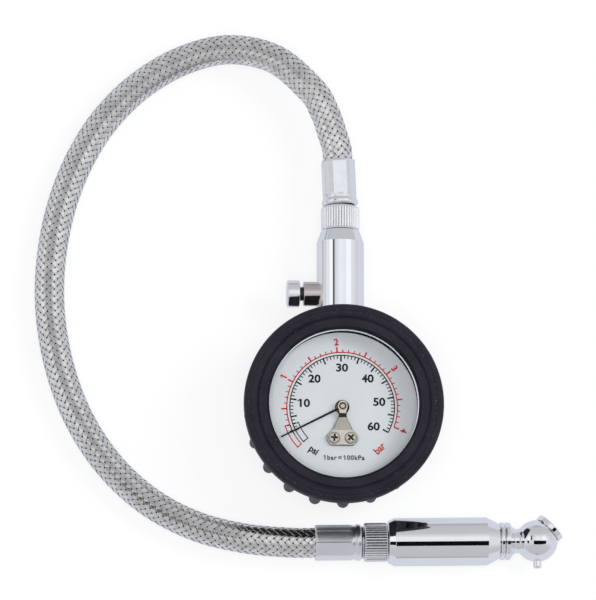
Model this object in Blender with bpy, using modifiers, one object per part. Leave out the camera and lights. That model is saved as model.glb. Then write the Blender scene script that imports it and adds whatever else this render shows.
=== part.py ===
"""Tire pressure gauge with a braided hose and a swivelling ball chuck, lying on its back.

The dial faces +Z, the stem points along +Y and the chuck lies along +X. The origin is on the
dial's axis at the back of the rubber boot, which rests on z = 0. Sizes are in millimetres.
"""
import math

import bmesh
import bpy
from mathutils import Matrix, Vector

MM = 0.001
GAP = 0.3
ROUND_LARGE, ROUND, ROUND_SMALL = 40, 24, 12

# Boot and case
BOOT_RADIUS, BOOT_HEIGHT, BOOT_FLOOR = 37.5, 37.8, 2.5
BOOT_BODY_RADIUS, BOOT_BACK_RADIUS = 34.0, 26.5
BOOT_LIP_UNDER, BOOT_CORNER = 27.6, 9.0
RIB_COUNT, RIBS_LEFT_OUT_AT_STEM, RIB_PHASE = 20, 3, math.radians(92)
RIB_RADIUS, RIB_CENTRE_RADIUS, RIB_END = 2.3, 34.0, 9.4
OPENING_RADIUS, OPENING_EDGE = 27.9, 35.0
LIP_ROUND, LIP_BAND = 2.0, 32.6
CASE_RADIUS, CASE_WALL, CASE_BACK, CASE_RIM = 31.2, 0.8, 2.9, 32.0
BEZEL_RADIUS, BEZEL_OPENING, BEZEL_SKIRT, BEZEL_TOP = 32.0, 28.4, 29.6, 33.2
LENS_BOTTOM, LENS_TOP = 30.5, 32.1
SPACER_INNER, SPACER_TOP = 28.3, 29.3

# Dial, pointer and bridge
DIAL_RADIUS, DIAL_BOTTOM, DIAL_TOP = 30.0, 24.4, 25.0
DIAL_HOLE = 2.7
REST_ANGLE = math.radians(206.8)
POINTER_LENGTH, POINTER_HUB, POINTER_BOTTOM, POINTER_TOP = 25.8, 1.7, 25.9, 26.2
POINTER_TIP_HALF = 0.3
BRIDGE_BASE, BRIDGE_BOSS_TOP, BRIDGE_SHEET = 25.3, 28.2, 0.9
BOSS_RADIUS = 2.05
POST_X, POST_Y, POST_RADIUS = 3.1, -11.7, 1.9
SCREW_SHANK, SCREW_HEAD = 1.0, 2.05
ARBOR_RADIUS, ARBOR_BOTTOM, ARBOR_TOP = 0.6, 8.2, 28.1

# Movement: pinion, sector, link and spring tube
MODULE, PINION_TEETH, SECTOR_TEETH = 0.45, 9, 63
TOOTH_ROOT, TOOTH_TIP = 0.55, 0.34
MESH_DISTANCE = MODULE * (PINION_TEETH + SECTOR_TEETH) / 2
STUD_ANGLE = math.radians(42.5)
STUD = (MESH_DISTANCE * math.cos(STUD_ANGLE), MESH_DISTANCE * math.sin(STUD_ANGLE))
GEAR_BOTTOM, GEAR_TOP = 12.0, 13.2
TAIL_LENGTH, TAIL_ANGLE = 5.0, math.radians(268.1)
LINK_LENGTH, LINK_ANGLE, LINK_BOTTOM, LINK_TOP = 6.5, math.radians(15.0), 13.6, 14.6
PIN_RADIUS, PLATE_BOTTOM, PLATE_TOP = 0.6, 9.0, 10.0
TUBE_RADIUS, TUBE_THICK, TUBE_WIDE = 21.5, 3.0, 8.0
TUBE_START, TUBE_END = math.radians(105), math.radians(368)

# Stem and bleed valve
STEM_Z, STEM_RADIUS, STEM_BASE = 16.5, 9.0, 31.7
STEM_CONE, STEM_TOP, STEM_TOP_RADIUS = 64.55, 69.2, 7.3
SHANK_RADIUS, SHANK_END = 5.0, 23.6
BLEED_Y, BUSH_RADIUS, BUSH_END = 44.8, 4.65, 14.2
BUTTON_RADIUS, BUTTON_BACK, BUTTON_FACE = 5.15, 15.5, 20.45

# Hose and its two ends
HOSE_RADIUS, HOSE_LEAN = 5.8, math.radians(2.7)
COLLAR_RADIUS, COLLAR_BORE, COLLAR_TEETH, COLLAR_LENGTH = 7.35, 4.05, 42, 8.9
TOOTH_DEPTH = 0.3
FERRULE_FLAT, FERRULE_BORE, FERRULE_LENGTH = 6.2, 5.5, 17.6
FLANGE_RADIUS, FLANGE_WIDE = 6.9, 2.4
TAIL_INNER, TAIL_OUTER, TAIL_SHORT = 3.8, 5.2, 0.4
LEAN_Y, FERRULE_START = 78.4, 0.75

# Chuck
CHUCK_Y, CHUCK_Z, CHUCK_TURN = -49.35, 9.15, math.radians(0.9)
CHUCK_RADIUS, CHUCK_START, CHUCK_CONE, CHUCK_END = 9.1, 18.4, 55.8, 60.6
COLLAR_LOW_START, LOW_FERRULE_START = 9.2, -8.2
BALL_X, BALL_RADIUS, MOUTH_TURN = 75.0, 7.9, math.radians(43.5)
MOUTH_RADIUS, MOUTH_FACE, CAP_RADIUS, BALL_FLAT = 4.1, 8.0, 6.0, 5.5
NIB_RADIUS, NIB_END = 1.5, 10.4

# Points that the hose passes through, from the gauge's ferrule to the chuck's
HOSE_ROUTE = [
    (-0.9, 97.2, 16.5), (-1.3, 101.5, 16.5), (-3, 107.5, 16.5), (-6, 116.2, 16.3), (-11, 124.7, 16),
    (-25, 137, 14.5), (-43, 141, 12.5), (-61, 136.6, 10.3), (-77, 127, 8.2), (-90, 113.8, 6.8),
    (-99.5, 98.2, 6.1), (-106, 81, 6), (-109.7, 62.3, 6), (-110.5, 43.5, 6), (-108.2, 25, 6), (-103, 7, 6),
    (-95, -9.2, 6), (-84, -23.5, 6), (-70, -35.2, 6.2), (-53.5, -43.5, 7.2), (-36, -47.9, 8.6),
    (-20, -49.4, 9.15), (-9.8, -49.5, 9.15),
]
HOSE_POINTS_PER_SPAN = 3

# What moves with what
CARRIED = {
    "arbor": ("pointer", "pointer_bush", "pinion"),
    "sector_gear": ("link_pin",),
    "tube_tip": ("tip_pin",),
    "bleed_button": ("bleed_seal", "bleed_valve_disc"),
    "ball_head": ("mouth_cap", "mouth_seal", "depressor_pin", "deflator_nib", "swivel_o_ring"),
}

PARTS = bpy.data.collections.new("tire_pressure_gauge")
CUTTERS = bpy.data.collections.new("cutters")


def look(name, colour, roughness, metallic):
    """A material with one Principled shader."""
    material = bpy.data.materials.new(name)
    material.use_nodes = True
    shader = material.node_tree.nodes["Principled BSDF"]
    shader.inputs["Base Color"].default_value = (*colour, 1)
    shader.inputs["Roughness"].default_value = roughness
    shader.inputs["Metallic"].default_value = metallic
    return material


CHROME = ("chrome", (0.82, 0.83, 0.86), 0.06, 1)
STEEL = ("steel", (0.62, 0.63, 0.65), 0.25, 1)
NICKEL = ("nickel", (0.72, 0.68, 0.58), 0.25, 1)
BRASS = ("brass", (0.72, 0.52, 0.22), 0.3, 1)
RUBBER = ("rubber", (0.025, 0.025, 0.032), 0.6, 0)
BLACK_PAINT = ("black_paint", (0.012, 0.012, 0.012), 0.4, 0)
DIAL_WHITE = ("dial_white", (0.72, 0.75, 0.79), 0.5, 0)
CLEAR = ("clear", (0.95, 0.97, 0.98), 0.02, 0)
BRAID = ("braid", (0.5, 0.5, 0.5), 0.35, 1)


def clear_scene():
    for obj in list(bpy.data.objects):
        bpy.data.objects.remove(obj, do_unlink=True)
    bpy.context.scene.collection.children.link(PARTS)
    bpy.context.scene.collection.children.link(CUTTERS)


def frame_along(axis, origin):
    """A placement whose local Z runs along axis from origin."""
    turn = Vector(axis).to_track_quat("Z", "Y").to_matrix().to_4x4()
    return Matrix.Translation(Vector(origin) * MM) @ turn


DIAL = Matrix()
STEM = frame_along((0, 1, 0), (0, 0, STEM_Z))
HOSE_END = frame_along((-math.sin(HOSE_LEAN), math.cos(HOSE_LEAN), 0), (0, LEAN_Y, STEM_Z))
BLEED = frame_along((-1, 0, 0), (0, BLEED_Y, STEM_Z))
CHUCK_AXIS = Vector((math.cos(CHUCK_TURN), math.sin(CHUCK_TURN), 0))
CHUCK = frame_along(CHUCK_AXIS, (0, CHUCK_Y, CHUCK_Z))
BALL_CENTRE = Vector((0, CHUCK_Y, CHUCK_Z)) + CHUCK_AXIS * BALL_X
MOUTH_AXIS = Matrix.Rotation(MOUTH_TURN, 3, "Z") @ CHUCK_AXIS
NIB_AXIS = Matrix.Rotation(-math.pi / 2, 3, "Z") @ CHUCK_AXIS
MOUTH = frame_along(MOUTH_AXIS, BALL_CENTRE)
NIB = frame_along(NIB_AXIS, BALL_CENTRE)


def at(x, y, z=0.0):
    return Matrix.Translation(Vector((x, y, z)) * MM)


def add(name, data, finish, place, cutter=False):
    """A named object with its own material, or a hidden cutter."""
    obj = bpy.data.objects.new(name, data)
    (CUTTERS if cutter else PARTS).objects.link(obj)
    obj.matrix_world = place
    if cutter:
        obj.hide_render = True
        obj.display_type = "WIRE"
    else:
        data.materials.append(look(name + "_" + finish[0], *finish[1:]))
    return obj


def turned(name, profile, finish=None, place=DIAL, steps=ROUND, cutter=False):
    """A (radius, height) profile turned about the local Z axis; it closes unless it meets the axis."""
    mesh = bpy.data.meshes.new(name)
    count = len(profile)
    edges = [(i, i + 1) for i in range(count - 1)]
    if profile[0][0] > 0:
        edges.append((count - 1, 0))
    mesh.from_pydata([(r * MM, 0, z * MM) for r, z in profile], edges, [])
    obj = add(name, mesh, finish, place, cutter)
    screw = obj.modifiers.new("Turn", "SCREW")
    screw.steps = screw.render_steps = steps
    screw.use_merge_vertices = True
    screw.merge_threshold = 0.000001
    return obj


def ring_profile(inner, outer, bottom, top):
    return [(inner, top), (outer, top), (outer, bottom), (inner, bottom)]


def rod_profile(radius, bottom, top, chamfer=0.0):
    if chamfer == 0:
        return [(0, top), (radius, top), (radius, bottom), (0, bottom)]
    return [(0, top), (radius - chamfer, top), (radius, top - chamfer), (radius, bottom + chamfer),
            (radius - chamfer, bottom), (0, bottom)]


def circle(radius, x=0.0, y=0.0, sides=ROUND_SMALL):
    turn = 2 * math.pi / sides
    return [(x + radius * math.cos(i * turn), y + radius * math.sin(i * turn)) for i in range(sides)]


def flat(name, outlines, bottom, top, finish=None, place=DIAL, cutter=False):
    """A flat piece: the first outline is its edge and the others are holes."""
    curve = bpy.data.curves.new(name, "CURVE")
    curve.dimensions = "2D"
    curve.fill_mode = "BOTH"
    curve.extrude = (top - bottom) / 2 * MM
    for outline in outlines:
        spline = curve.splines.new("POLY")
        spline.points.add(len(outline) - 1)
        spline.use_cyclic_u = True
        for point, (x, y) in zip(spline.points, outline):
            point.co = (x * MM, y * MM, 0, 1)
    return add(name, curve, finish, place @ at(0, 0, (bottom + top) / 2), cutter)


def wire(name, points, radius, finish, place=DIAL, resolution=1):
    """A round wire or hose through points, with filled ends."""
    curve = bpy.data.curves.new(name, "CURVE")
    curve.dimensions = "3D"
    curve.bevel_depth = radius * MM
    curve.bevel_resolution = resolution
    curve.use_fill_caps = True
    spline = curve.splines.new("POLY")
    spline.points.add(len(points) - 1)
    for point, co in zip(spline.points, points):
        point.co = (*(Vector(co) * MM), 1)
    return add(name, curve, finish, place)


def as_mesh(obj):
    """The same object with its curve turned into a closed mesh, ready for a Boolean."""
    name, place, cutter = obj.name, obj.matrix_world.copy(), obj.name in CUTTERS.objects
    bpy.context.view_layer.update()
    mesh = bpy.data.meshes.new_from_object(obj.evaluated_get(bpy.context.evaluated_depsgraph_get()))
    bpy.data.objects.remove(obj, do_unlink=True)
    shape = bmesh.new()
    shape.from_mesh(mesh)
    bmesh.ops.remove_doubles(shape, verts=shape.verts, dist=0.000001)
    bmesh.ops.recalc_face_normals(shape, faces=shape.faces)
    shape.to_mesh(mesh)
    shape.free()
    made = bpy.data.objects.new(name, mesh)
    (CUTTERS if cutter else PARTS).objects.link(made)
    made.matrix_world = place
    made.hide_render = cutter
    made.display_type = "WIRE" if cutter else "TEXTURED"
    return made


def block(name, low, high, finish=None, place=DIAL, cutter=False):
    """A box between two corners."""
    mesh = bpy.data.meshes.new(name)
    shape = bmesh.new()
    size = [(b - a) * MM for a, b in zip(low, high)]
    middle = [(a + b) / 2 * MM for a, b in zip(low, high)]
    bmesh.ops.create_cube(shape, size=1.0)
    bmesh.ops.scale(shape, vec=size, verts=shape.verts)
    bmesh.ops.translate(shape, vec=middle, verts=shape.verts)
    shape.to_mesh(mesh)
    shape.free()
    return add(name, mesh, finish, place, cutter)


def boolean(obj, other, operation):
    modifier = obj.modifiers.new(operation.title(), "BOOLEAN")
    modifier.operation = operation
    modifier.solver = "EXACT"
    modifier.object = other


def drill(obj, name, radius, bottom, top, place, steps=ROUND):
    """A round hole along a placement's Z axis."""
    boolean(obj, turned(name, rod_profile(radius, bottom, top), None, place, steps, True), "DIFFERENCE")


def polar(radius, angle):
    return (radius * math.cos(angle), radius * math.sin(angle))


def arc(centre, radii, start, end, count):
    """Points on an elliptical arc, with angles in degrees."""
    angles = [math.radians(start + (end - start) * i / count) for i in range(count + 1)]
    return [(centre[0] + radii[0] * math.cos(a), centre[1] + radii[1] * math.sin(a)) for a in angles]


def helix(radius, bottom, top, turns, per_turn=8):
    count = int(turns * per_turn)
    steps = [(2 * math.pi * i / per_turn, bottom + (top - bottom) * i / count) for i in range(count + 1)]
    return [(*polar(radius, a), z) for a, z in steps]


def rubber_boot():
    lip = arc((BOOT_RADIUS - LIP_ROUND, BOOT_HEIGHT - LIP_ROUND), (LIP_ROUND, LIP_ROUND), 90, 0, 3)
    corner_wide = BOOT_BODY_RADIUS - BOOT_BACK_RADIUS
    corner = arc((BOOT_BACK_RADIUS, BOOT_CORNER), (corner_wide, BOOT_CORNER), 0, -90, 3)
    cavity, seat = CASE_RADIUS + 0.4, BEZEL_RADIUS + GAP
    seat_low, seat_high = BEZEL_SKIRT - 0.4, BEZEL_TOP + 0.4
    groove = [(31.4, 35.8), (31.6, 35.3), (31.9, 35.3), (32.1, 36.6)]
    profile = [(0, BOOT_FLOOR), (cavity, BOOT_FLOOR), (cavity, seat_low), (seat, seat_low), (seat, seat_high),
               (OPENING_RADIUS + 0.4, seat_high), (OPENING_RADIUS, seat_high + 0.4),
               (OPENING_RADIUS, OPENING_EDGE), *groove, (33.6, BOOT_HEIGHT - 0.3), *lip,
               (BOOT_RADIUS, LIP_BAND), (36.4, 29.6),
               (BOOT_BODY_RADIUS, BOOT_LIP_UNDER), *corner, (0, 0)]
    boot = turned("rubber_boot", profile, RUBBER, steps=ROUND_LARGE)
    pitch = 2 * math.pi / RIB_COUNT
    kept = range(RIBS_LEFT_OUT_AT_STEM // 2 + 1, RIB_COUNT - RIBS_LEFT_OUT_AT_STEM // 2)
    for i in kept:
        x, y = polar(RIB_CENTRE_RADIUS, RIB_PHASE + i * pitch)
        profile = rod_profile(RIB_RADIUS, RIB_END, BOOT_LIP_UNDER + 1)
        boolean(boot, turned(f"rib_{i}", profile, None, at(x, y), 8, True), "UNION")
    drill(boot, "boot_stem_hole", STEM_RADIUS + 0.4, 25, 45, STEM)


def case_and_glass():
    inner = CASE_RADIUS - CASE_WALL
    profile = [(0, CASE_BACK + 0.9), (inner, CASE_BACK + 0.9), (inner, CASE_RIM), (CASE_RADIUS, CASE_RIM),
               (CASE_RADIUS, CASE_BACK), (0, CASE_BACK)]
    case = turned("gauge_case", profile, STEEL, steps=ROUND_LARGE)
    drill(case, "case_stem_hole", SHANK_RADIUS + 0.4, 26, 35, STEM)
    under, skirt = BEZEL_TOP - 0.8, CASE_RADIUS + GAP
    profile = [(BEZEL_OPENING, BEZEL_TOP), (BEZEL_RADIUS, BEZEL_TOP), (BEZEL_RADIUS, BEZEL_SKIRT),
               (skirt, BEZEL_SKIRT), (skirt, under), (BEZEL_OPENING, under)]
    turned("bezel_ring", profile, CHROME, steps=ROUND_LARGE)
    turned("lens", rod_profile(inner - GAP, LENS_BOTTOM, LENS_TOP), CLEAR, steps=ROUND_LARGE)
    turned("lens_gasket", ring_profile(28.6, 30.0, SPACER_TOP + GAP, LENS_BOTTOM - GAP), RUBBER, steps=ROUND)
    turned("spacer_ring", ring_profile(SPACER_INNER, inner - GAP, DIAL_TOP + GAP, SPACER_TOP), STEEL,
           steps=ROUND_LARGE)


def dial_and_bridge():
    holes = [circle(SCREW_SHANK + 0.4, side * POST_X, POST_Y) for side in (-1, 1)]
    outlines = [circle(DIAL_RADIUS, sides=ROUND_LARGE), circle(DIAL_HOLE), *holes]
    flat("dial_plate", outlines, DIAL_BOTTOM, DIAL_TOP, DIAL_WHITE)
    boss = [polar(BOSS_RADIUS, math.radians(a)) for a in range(-45, 226, 30)]
    half = [(1.45, -2.4), (1.45, -3.7), (3.8, -8.6), (5.9, -10.6), (5.9, -12.4), (4.2, -14.4)]
    plan = [*boss, *[(-x, y) for x, y in half], *reversed(half)]
    plan_cutter = as_mesh(flat("bridge_plan", [plan, circle(ARBOR_RADIUS + 0.35)], 24, 30, None, DIAL, True))
    base_top, boss_under = BRIDGE_BASE + BRIDGE_SHEET, BRIDGE_BOSS_TOP - BRIDGE_SHEET
    side = [(2.5, BRIDGE_BOSS_TOP), (-2.5, BRIDGE_BOSS_TOP), (-3.7, base_top + 0.7), (-8.6, base_top),
            (-15, base_top), (-15, BRIDGE_BASE), (-8.6, BRIDGE_BASE), (-3.2, BRIDGE_BASE + 0.7),
            (-2.2, boss_under), (2.5, boss_under)]
    sideways = Matrix(((0, 0, 1, 0), (1, 0, 0, 0), (0, 1, 0, 0), (0, 0, 0, 1)))
    bridge = as_mesh(flat("pointer_bridge", [side], -8, 8, NICKEL, sideways))
    boolean(bridge, plan_cutter, "INTERSECT")
    for label, sign in (("left", -1), ("right", 1)):
        place = at(sign * POST_X, POST_Y)
        drill(bridge, f"bridge_hole_{label}", SCREW_SHANK + 0.35, 24, 30, place, ROUND_SMALL)
        head = base_top + GAP
        screw = [(0, head + 1.2), (1.4, head + 1.1), (SCREW_HEAD, head + 0.6), (SCREW_HEAD, head),
                 (SCREW_SHANK, head), (SCREW_SHANK, 18), (0, 18)]
        turned(f"bridge_screw_{label}", screw, STEEL, place, ROUND_SMALL)
        bore = SCREW_SHANK + GAP
        post = [(0, 17), (bore, 17), (bore, DIAL_BOTTOM - GAP), (POST_RADIUS, DIAL_BOTTOM - GAP),
                (POST_RADIUS, PLATE_TOP + GAP), (0, PLATE_TOP + GAP)]
        turned(f"bridge_post_{label}", post, BRASS, place, ROUND_SMALL)


def pointer_set():
    turn = Matrix.Rotation(REST_ANGLE, 4, "Z")
    hub = [polar(POINTER_HUB, math.radians(a)) for a in range(20, 341, 32)]
    needle = [*hub, (POINTER_LENGTH, -POINTER_TIP_HALF), (POINTER_LENGTH, POINTER_TIP_HALF)]
    bore = ARBOR_RADIUS + GAP
    flat("pointer", [needle, circle(bore, sides=12)], POINTER_BOTTOM, POINTER_TOP, BLACK_PAINT, turn)
    bush = ring_profile(bore, DIAL_HOLE - 0.4, DIAL_BOTTOM + 0.2, POINTER_BOTTOM - GAP)
    turned("pointer_bush", bush, BRASS, steps=ROUND_SMALL)
    arbor = [(0, ARBOR_TOP), (0.35, ARBOR_TOP), (ARBOR_RADIUS, ARBOR_TOP - 0.4), (ARBOR_RADIUS, ARBOR_BOTTOM),
             (0, ARBOR_BOTTOM)]
    turned("arbor", arbor, STEEL, steps=12)
    radius = MODULE * PINION_TEETH / 2
    root, tip = radius - TOOTH_ROOT, radius + TOOTH_TIP
    outline = []
    for i in range(PINION_TEETH):
        middle = STUD_ANGLE + (i + 0.5) * 2 * math.pi / PINION_TEETH
        for r, spread in ((root, -9), (tip, -4), (tip, 4), (root, 9)):
            outline.append(polar(r, middle + math.radians(spread)))
    flat("pinion", [outline, circle(bore, sides=12)], GEAR_BOTTOM - 0.4, GEAR_TOP + 0.3, BRASS)


def sector_set():
    place = at(*STUD)
    radius = MODULE * SECTOR_TEETH / 2
    root, crest = radius - TOOTH_ROOT, radius + TOOTH_TIP
    step = 2 * math.pi / SECTOR_TEETH
    mesh_angle = STUD_ANGLE + math.pi
    outline = []
    for i in range(-7, 2):
        for r, spread in ((root, -1.35), (crest, -0.55), (crest, 0.55), (root, 1.35)):
            outline.append(polar(r, mesh_angle + i * step + math.radians(spread)))
    along = Vector(polar(1, TAIL_ANGLE))
    across = Vector((-along.y, along.x))
    degrees = math.degrees(TAIL_ANGLE)
    tail = [along * 2.2 - across * 1.2, *arc(along * TAIL_LENGTH, (1.4, 1.4), degrees - 90, degrees + 90, 5),
            along * 2.2 + across * 1.2]
    hub = [polar(2.5, math.radians(a)) for a in range(310, 521, 30)]
    holes = [circle(1.3), circle(PIN_RADIUS + GAP, *(along * TAIL_LENGTH), sides=12)]
    edge = [*outline, polar(2.5, math.radians(230)), *tail, *hub]
    flat("sector_gear", [edge, *holes], GEAR_BOTTOM, GEAR_TOP, BRASS, place)
    stud = [(0, 14.4), (1.0, 14.4), (1.0, 11.5), (2.2, 11.5), (2.2, PLATE_TOP + GAP), (0, PLATE_TOP + GAP)]
    turned("sector_stud", stud, STEEL, place, ROUND_SMALL)
    tail_pin = Vector(STUD) + along * TAIL_LENGTH
    tip_pin = tail_pin + Vector(polar(LINK_LENGTH, LINK_ANGLE))
    turned("link_pin", rod_profile(PIN_RADIUS, 11.6, 14.9), STEEL, at(*tail_pin), 12)
    turned("tip_pin", rod_profile(PIN_RADIUS, 13.2, 14.9), STEEL, at(*tip_pin), 12)
    eye = [*arc((0, 0), (1.4, 1.4), 40, 320, 7), *arc((LINK_LENGTH, 0), (1.4, 1.4), -140, 140, 7)]
    eyes = [circle(PIN_RADIUS + GAP, sides=12), circle(PIN_RADIUS + 0.4, LINK_LENGTH, sides=12)]
    turn = Matrix.Rotation(LINK_ANGLE, 4, "Z")
    flat("link", [eye, *eyes], LINK_BOTTOM, LINK_TOP, STEEL, at(*tail_pin) @ turn)
    inner, outer = TUBE_RADIUS - TUBE_THICK / 2, TUBE_RADIUS + TUBE_THICK / 2
    tip = [(inner, 10), (outer, 10), (outer, 21), (inner + 1, 26), (inner - 2, 27), (inner - 2, 19)]
    flat("tube_tip", [[polar(r, math.radians(a)) for r, a in tip]], 15.2, 18.2, BRASS)


def spring_tube():
    """The flattened tube that uncoils under pressure, lofted along its arc with an open bore."""
    def loft(name, thick, wide, start, end, cutter):
        count = 16
        shape = bmesh.new()
        section = [(thick / 2 * math.cos(a), wide / 2 * math.sin(a)) for a in
                   [math.pi * i / 4 for i in range(8)]]
        rings = []
        for i in range(count + 1):
            angle = start + (end - start) * i / count
            points = [(*polar(TUBE_RADIUS + r, angle), STEM_Z + z) for r, z in section]
            rings.append([shape.verts.new(Vector(p) * MM) for p in points])
        for low, high in zip(rings, rings[1:]):
            for j in range(len(section)):
                k = (j + 1) % len(section)
                shape.faces.new((low[j], low[k], high[k], high[j]))
        shape.faces.new(rings[0])
        shape.faces.new(rings[-1])
        bmesh.ops.recalc_face_normals(shape, faces=shape.faces)
        mesh = bpy.data.meshes.new(name)
        shape.to_mesh(mesh)
        shape.free()
        return add(name, mesh, BRASS, DIAL, cutter)

    tube = loft("bourdon_tube", TUBE_THICK, TUBE_WIDE, TUBE_START, TUBE_END, False)
    bore = loft("tube_bore", TUBE_THICK - 1.2, TUBE_WIDE - 1.6, TUBE_START - 0.1, TUBE_END - 0.12, True)
    boolean(tube, bore, "DIFFERENCE")


def movement_frame():
    socket = block("socket_block", (-8, 17.5, 10.3), (8, 28.6, 22.7), BRASS)
    drill(socket, "socket_thread", SHANK_RADIUS + GAP, SHANK_END - 0.4, 32, STEM)
    inner, outer = TUBE_RADIUS - TUBE_THICK / 2, TUBE_RADIUS + TUBE_THICK / 2
    half = TUBE_WIDE / 2 + GAP
    slot_turn = at(0, 0, STEM_Z) @ Matrix.Rotation(math.radians(108), 4, "Z")
    slot = block("socket_slot", (inner - GAP, -1.8, -half), (outer + GAP, 4, half), None, slot_turn, True)
    boolean(socket, slot, "DIFFERENCE")
    port = frame_along((1, -0.25, 0), (-6, 21.2, STEM_Z))
    drill(socket, "socket_port", 0.9, -1, 6, port, 12)
    outline = [(-7.5, 28), (7.5, 28), (15.5, 14), (15.5, 8), (6.5, -15), (-6.5, -15), (-8.5, 4)]
    flat("movement_plate", [outline, circle(ARBOR_RADIUS + GAP, sides=12)], PLATE_BOTTOM, PLATE_TOP, BRASS)
    turns, per_turn = 3, 10
    spiral = [polar(1.4 + 3.6 * i / (turns * per_turn), 2 * math.pi * i / per_turn)
              for i in range(turns * per_turn + 1)]
    wire("hairspring", [(x, y, 16.0) for x, y in spiral], 0.15, STEEL)


def stem_and_bleed():
    bore_low, bore, thread = 2.2, 3.0, 4.75
    profile = [(thread, STEM_TOP), (STEM_TOP_RADIUS, STEM_TOP), (STEM_RADIUS, STEM_CONE),
               (STEM_RADIUS, STEM_BASE), (SHANK_RADIUS, STEM_BASE), (SHANK_RADIUS, SHANK_END),
               (bore_low, SHANK_END), (bore_low, 34), (bore, 34), (bore, 60.4), (thread, 60.4)]
    stem = turned("stem_body", profile, CHROME, STEM, 30)
    drill(stem, "stem_side_hole", 3.9, -1.5, 12, BLEED)
    shank, shoulder, inner_end = 3.6, 7.6, 4.6
    outer = [(0, BUSH_END), (BUSH_RADIUS - 0.4, BUSH_END), (BUSH_RADIUS, BUSH_END - 0.4), (BUSH_RADIUS, 6),
             (0, 6)]
    bush = turned("bleed_valve_body", outer, CHROME, BLEED)
    drill(bush, "bush_saddle", STEM_RADIUS + GAP, BLEED_Y - 8, BLEED_Y + 8, STEM, 30)
    boolean(bush, turned("bush_shank", rod_profile(shank, inner_end, 12), None, BLEED, ROUND, True), "UNION")
    bore = [(0, BUSH_END + 1), (2.95, BUSH_END + 1), (2.95, shoulder), (1.5, shoulder), (1.5, inner_end - 1),
            (0, inner_end - 1)]
    boolean(bush, turned("bush_bore", bore, None, BLEED, ROUND_SMALL, True), "DIFFERENCE")
    rod, neck, neck_end = 1.1, 2.6, 11.4
    button = [(0, BUTTON_FACE), (BUTTON_RADIUS - 0.7, BUTTON_FACE), (BUTTON_RADIUS, BUTTON_FACE - 0.7),
              (BUTTON_RADIUS, BUTTON_BACK + 0.6), (BUTTON_RADIUS - 0.6, BUTTON_BACK), (neck, BUTTON_BACK),
              (neck, neck_end), (rod, neck_end), (rod, 2.6), (0, 2.6)]
    turned("bleed_button", button, CHROME, BLEED)
    turned("bleed_seal", ring_profile(rod + GAP, 2.7, 3.7, 4.3), RUBBER, BLEED, ROUND_SMALL)
    turned("bleed_valve_disc", ring_profile(rod + GAP, 2.7, 2.6, 3.4), BRASS, BLEED, ROUND_SMALL)
    coil = 0.28
    wire("bleed_spring", helix(2.0, shoulder + GAP + coil, neck_end - GAP - coil, 3), coil, STEEL, BLEED)


def knurled_collar(name, start, place):
    """A grip ring with straight teeth."""
    step = 2 * math.pi / COLLAR_TEETH
    outline = []
    for i in range(COLLAR_TEETH):
        outline += [polar(COLLAR_RADIUS, i * step), polar(COLLAR_RADIUS - TOOTH_DEPTH, (i + 0.5) * step)]
    flat(name, [outline, circle(COLLAR_BORE)], start, start + COLLAR_LENGTH, CHROME, place)


def ferrule(name, start, place, corner_turn):
    """A crimped sleeve with eight flats and a rolled flange, start is the flange's end."""
    turn = place @ Matrix.Rotation(corner_turn, 4, "Z")
    corner, inner = [flat_radius / math.cos(math.pi / 8) for flat_radius in (FERRULE_FLAT, FERRULE_BORE)]
    mouth = start + FERRULE_LENGTH
    sleeve = [(inner, mouth), (corner - 0.3, mouth), (corner, mouth - 0.5), (corner, start + 1.5),
              (inner, start + 1.5)]
    flange = [(FERRULE_BORE, start + FLANGE_WIDE), (6.4, start + FLANGE_WIDE),
              (FLANGE_RADIUS, start + FLANGE_WIDE - 0.6), (FLANGE_RADIUS, start + 0.5),
              (FLANGE_RADIUS - 0.5, start), (FERRULE_BORE, start)]
    obj = turned(name, flange, CHROME, turn, 24)
    boolean(obj, turned(name + "_sleeve", sleeve, None, turn, 8, True), "UNION")


def hose_insert(name, thread_face, shoulder, place, stub_end):
    """The barbed insert: thread stub, neck through the collar, shoulder and barb."""
    barb, neck, stub, bore = 2.9, 3.7, 4.4, 1.7
    barb_end = shoulder + 9.2
    profile = [(bore, barb_end), (barb - 0.4, barb_end), (barb, barb_end - 1.5), (barb - 0.3, barb_end - 1.5),
               (barb, barb_end - 4), (barb - 0.3, shoulder + 0.4), (6.1, shoulder + 0.4), (6.1, shoulder),
               (neck, shoulder), (neck, thread_face), (stub, thread_face), (stub, stub_end), (bore, stub_end)]
    turned(name, profile, STEEL, place, 14)


def smooth(points, per_span):
    """Points on a Catmull-Rom curve through a route."""
    route = [Vector(p) for p in points]
    ends = [2 * route[0] - route[1], *route, 2 * route[-1] - route[-2]]
    made = []
    for a, b, c, d in zip(ends, ends[1:], ends[2:], ends[3:]):
        for i in range(per_span):
            t = i / per_span
            made.append(((2 * b) + (c - a) * t + (2 * a - 5 * b + 4 * c - d) * t ** 2
                         + (3 * b - a - 3 * c + d) * t ** 3) / 2)
    return [*made, route[-1]]


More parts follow.
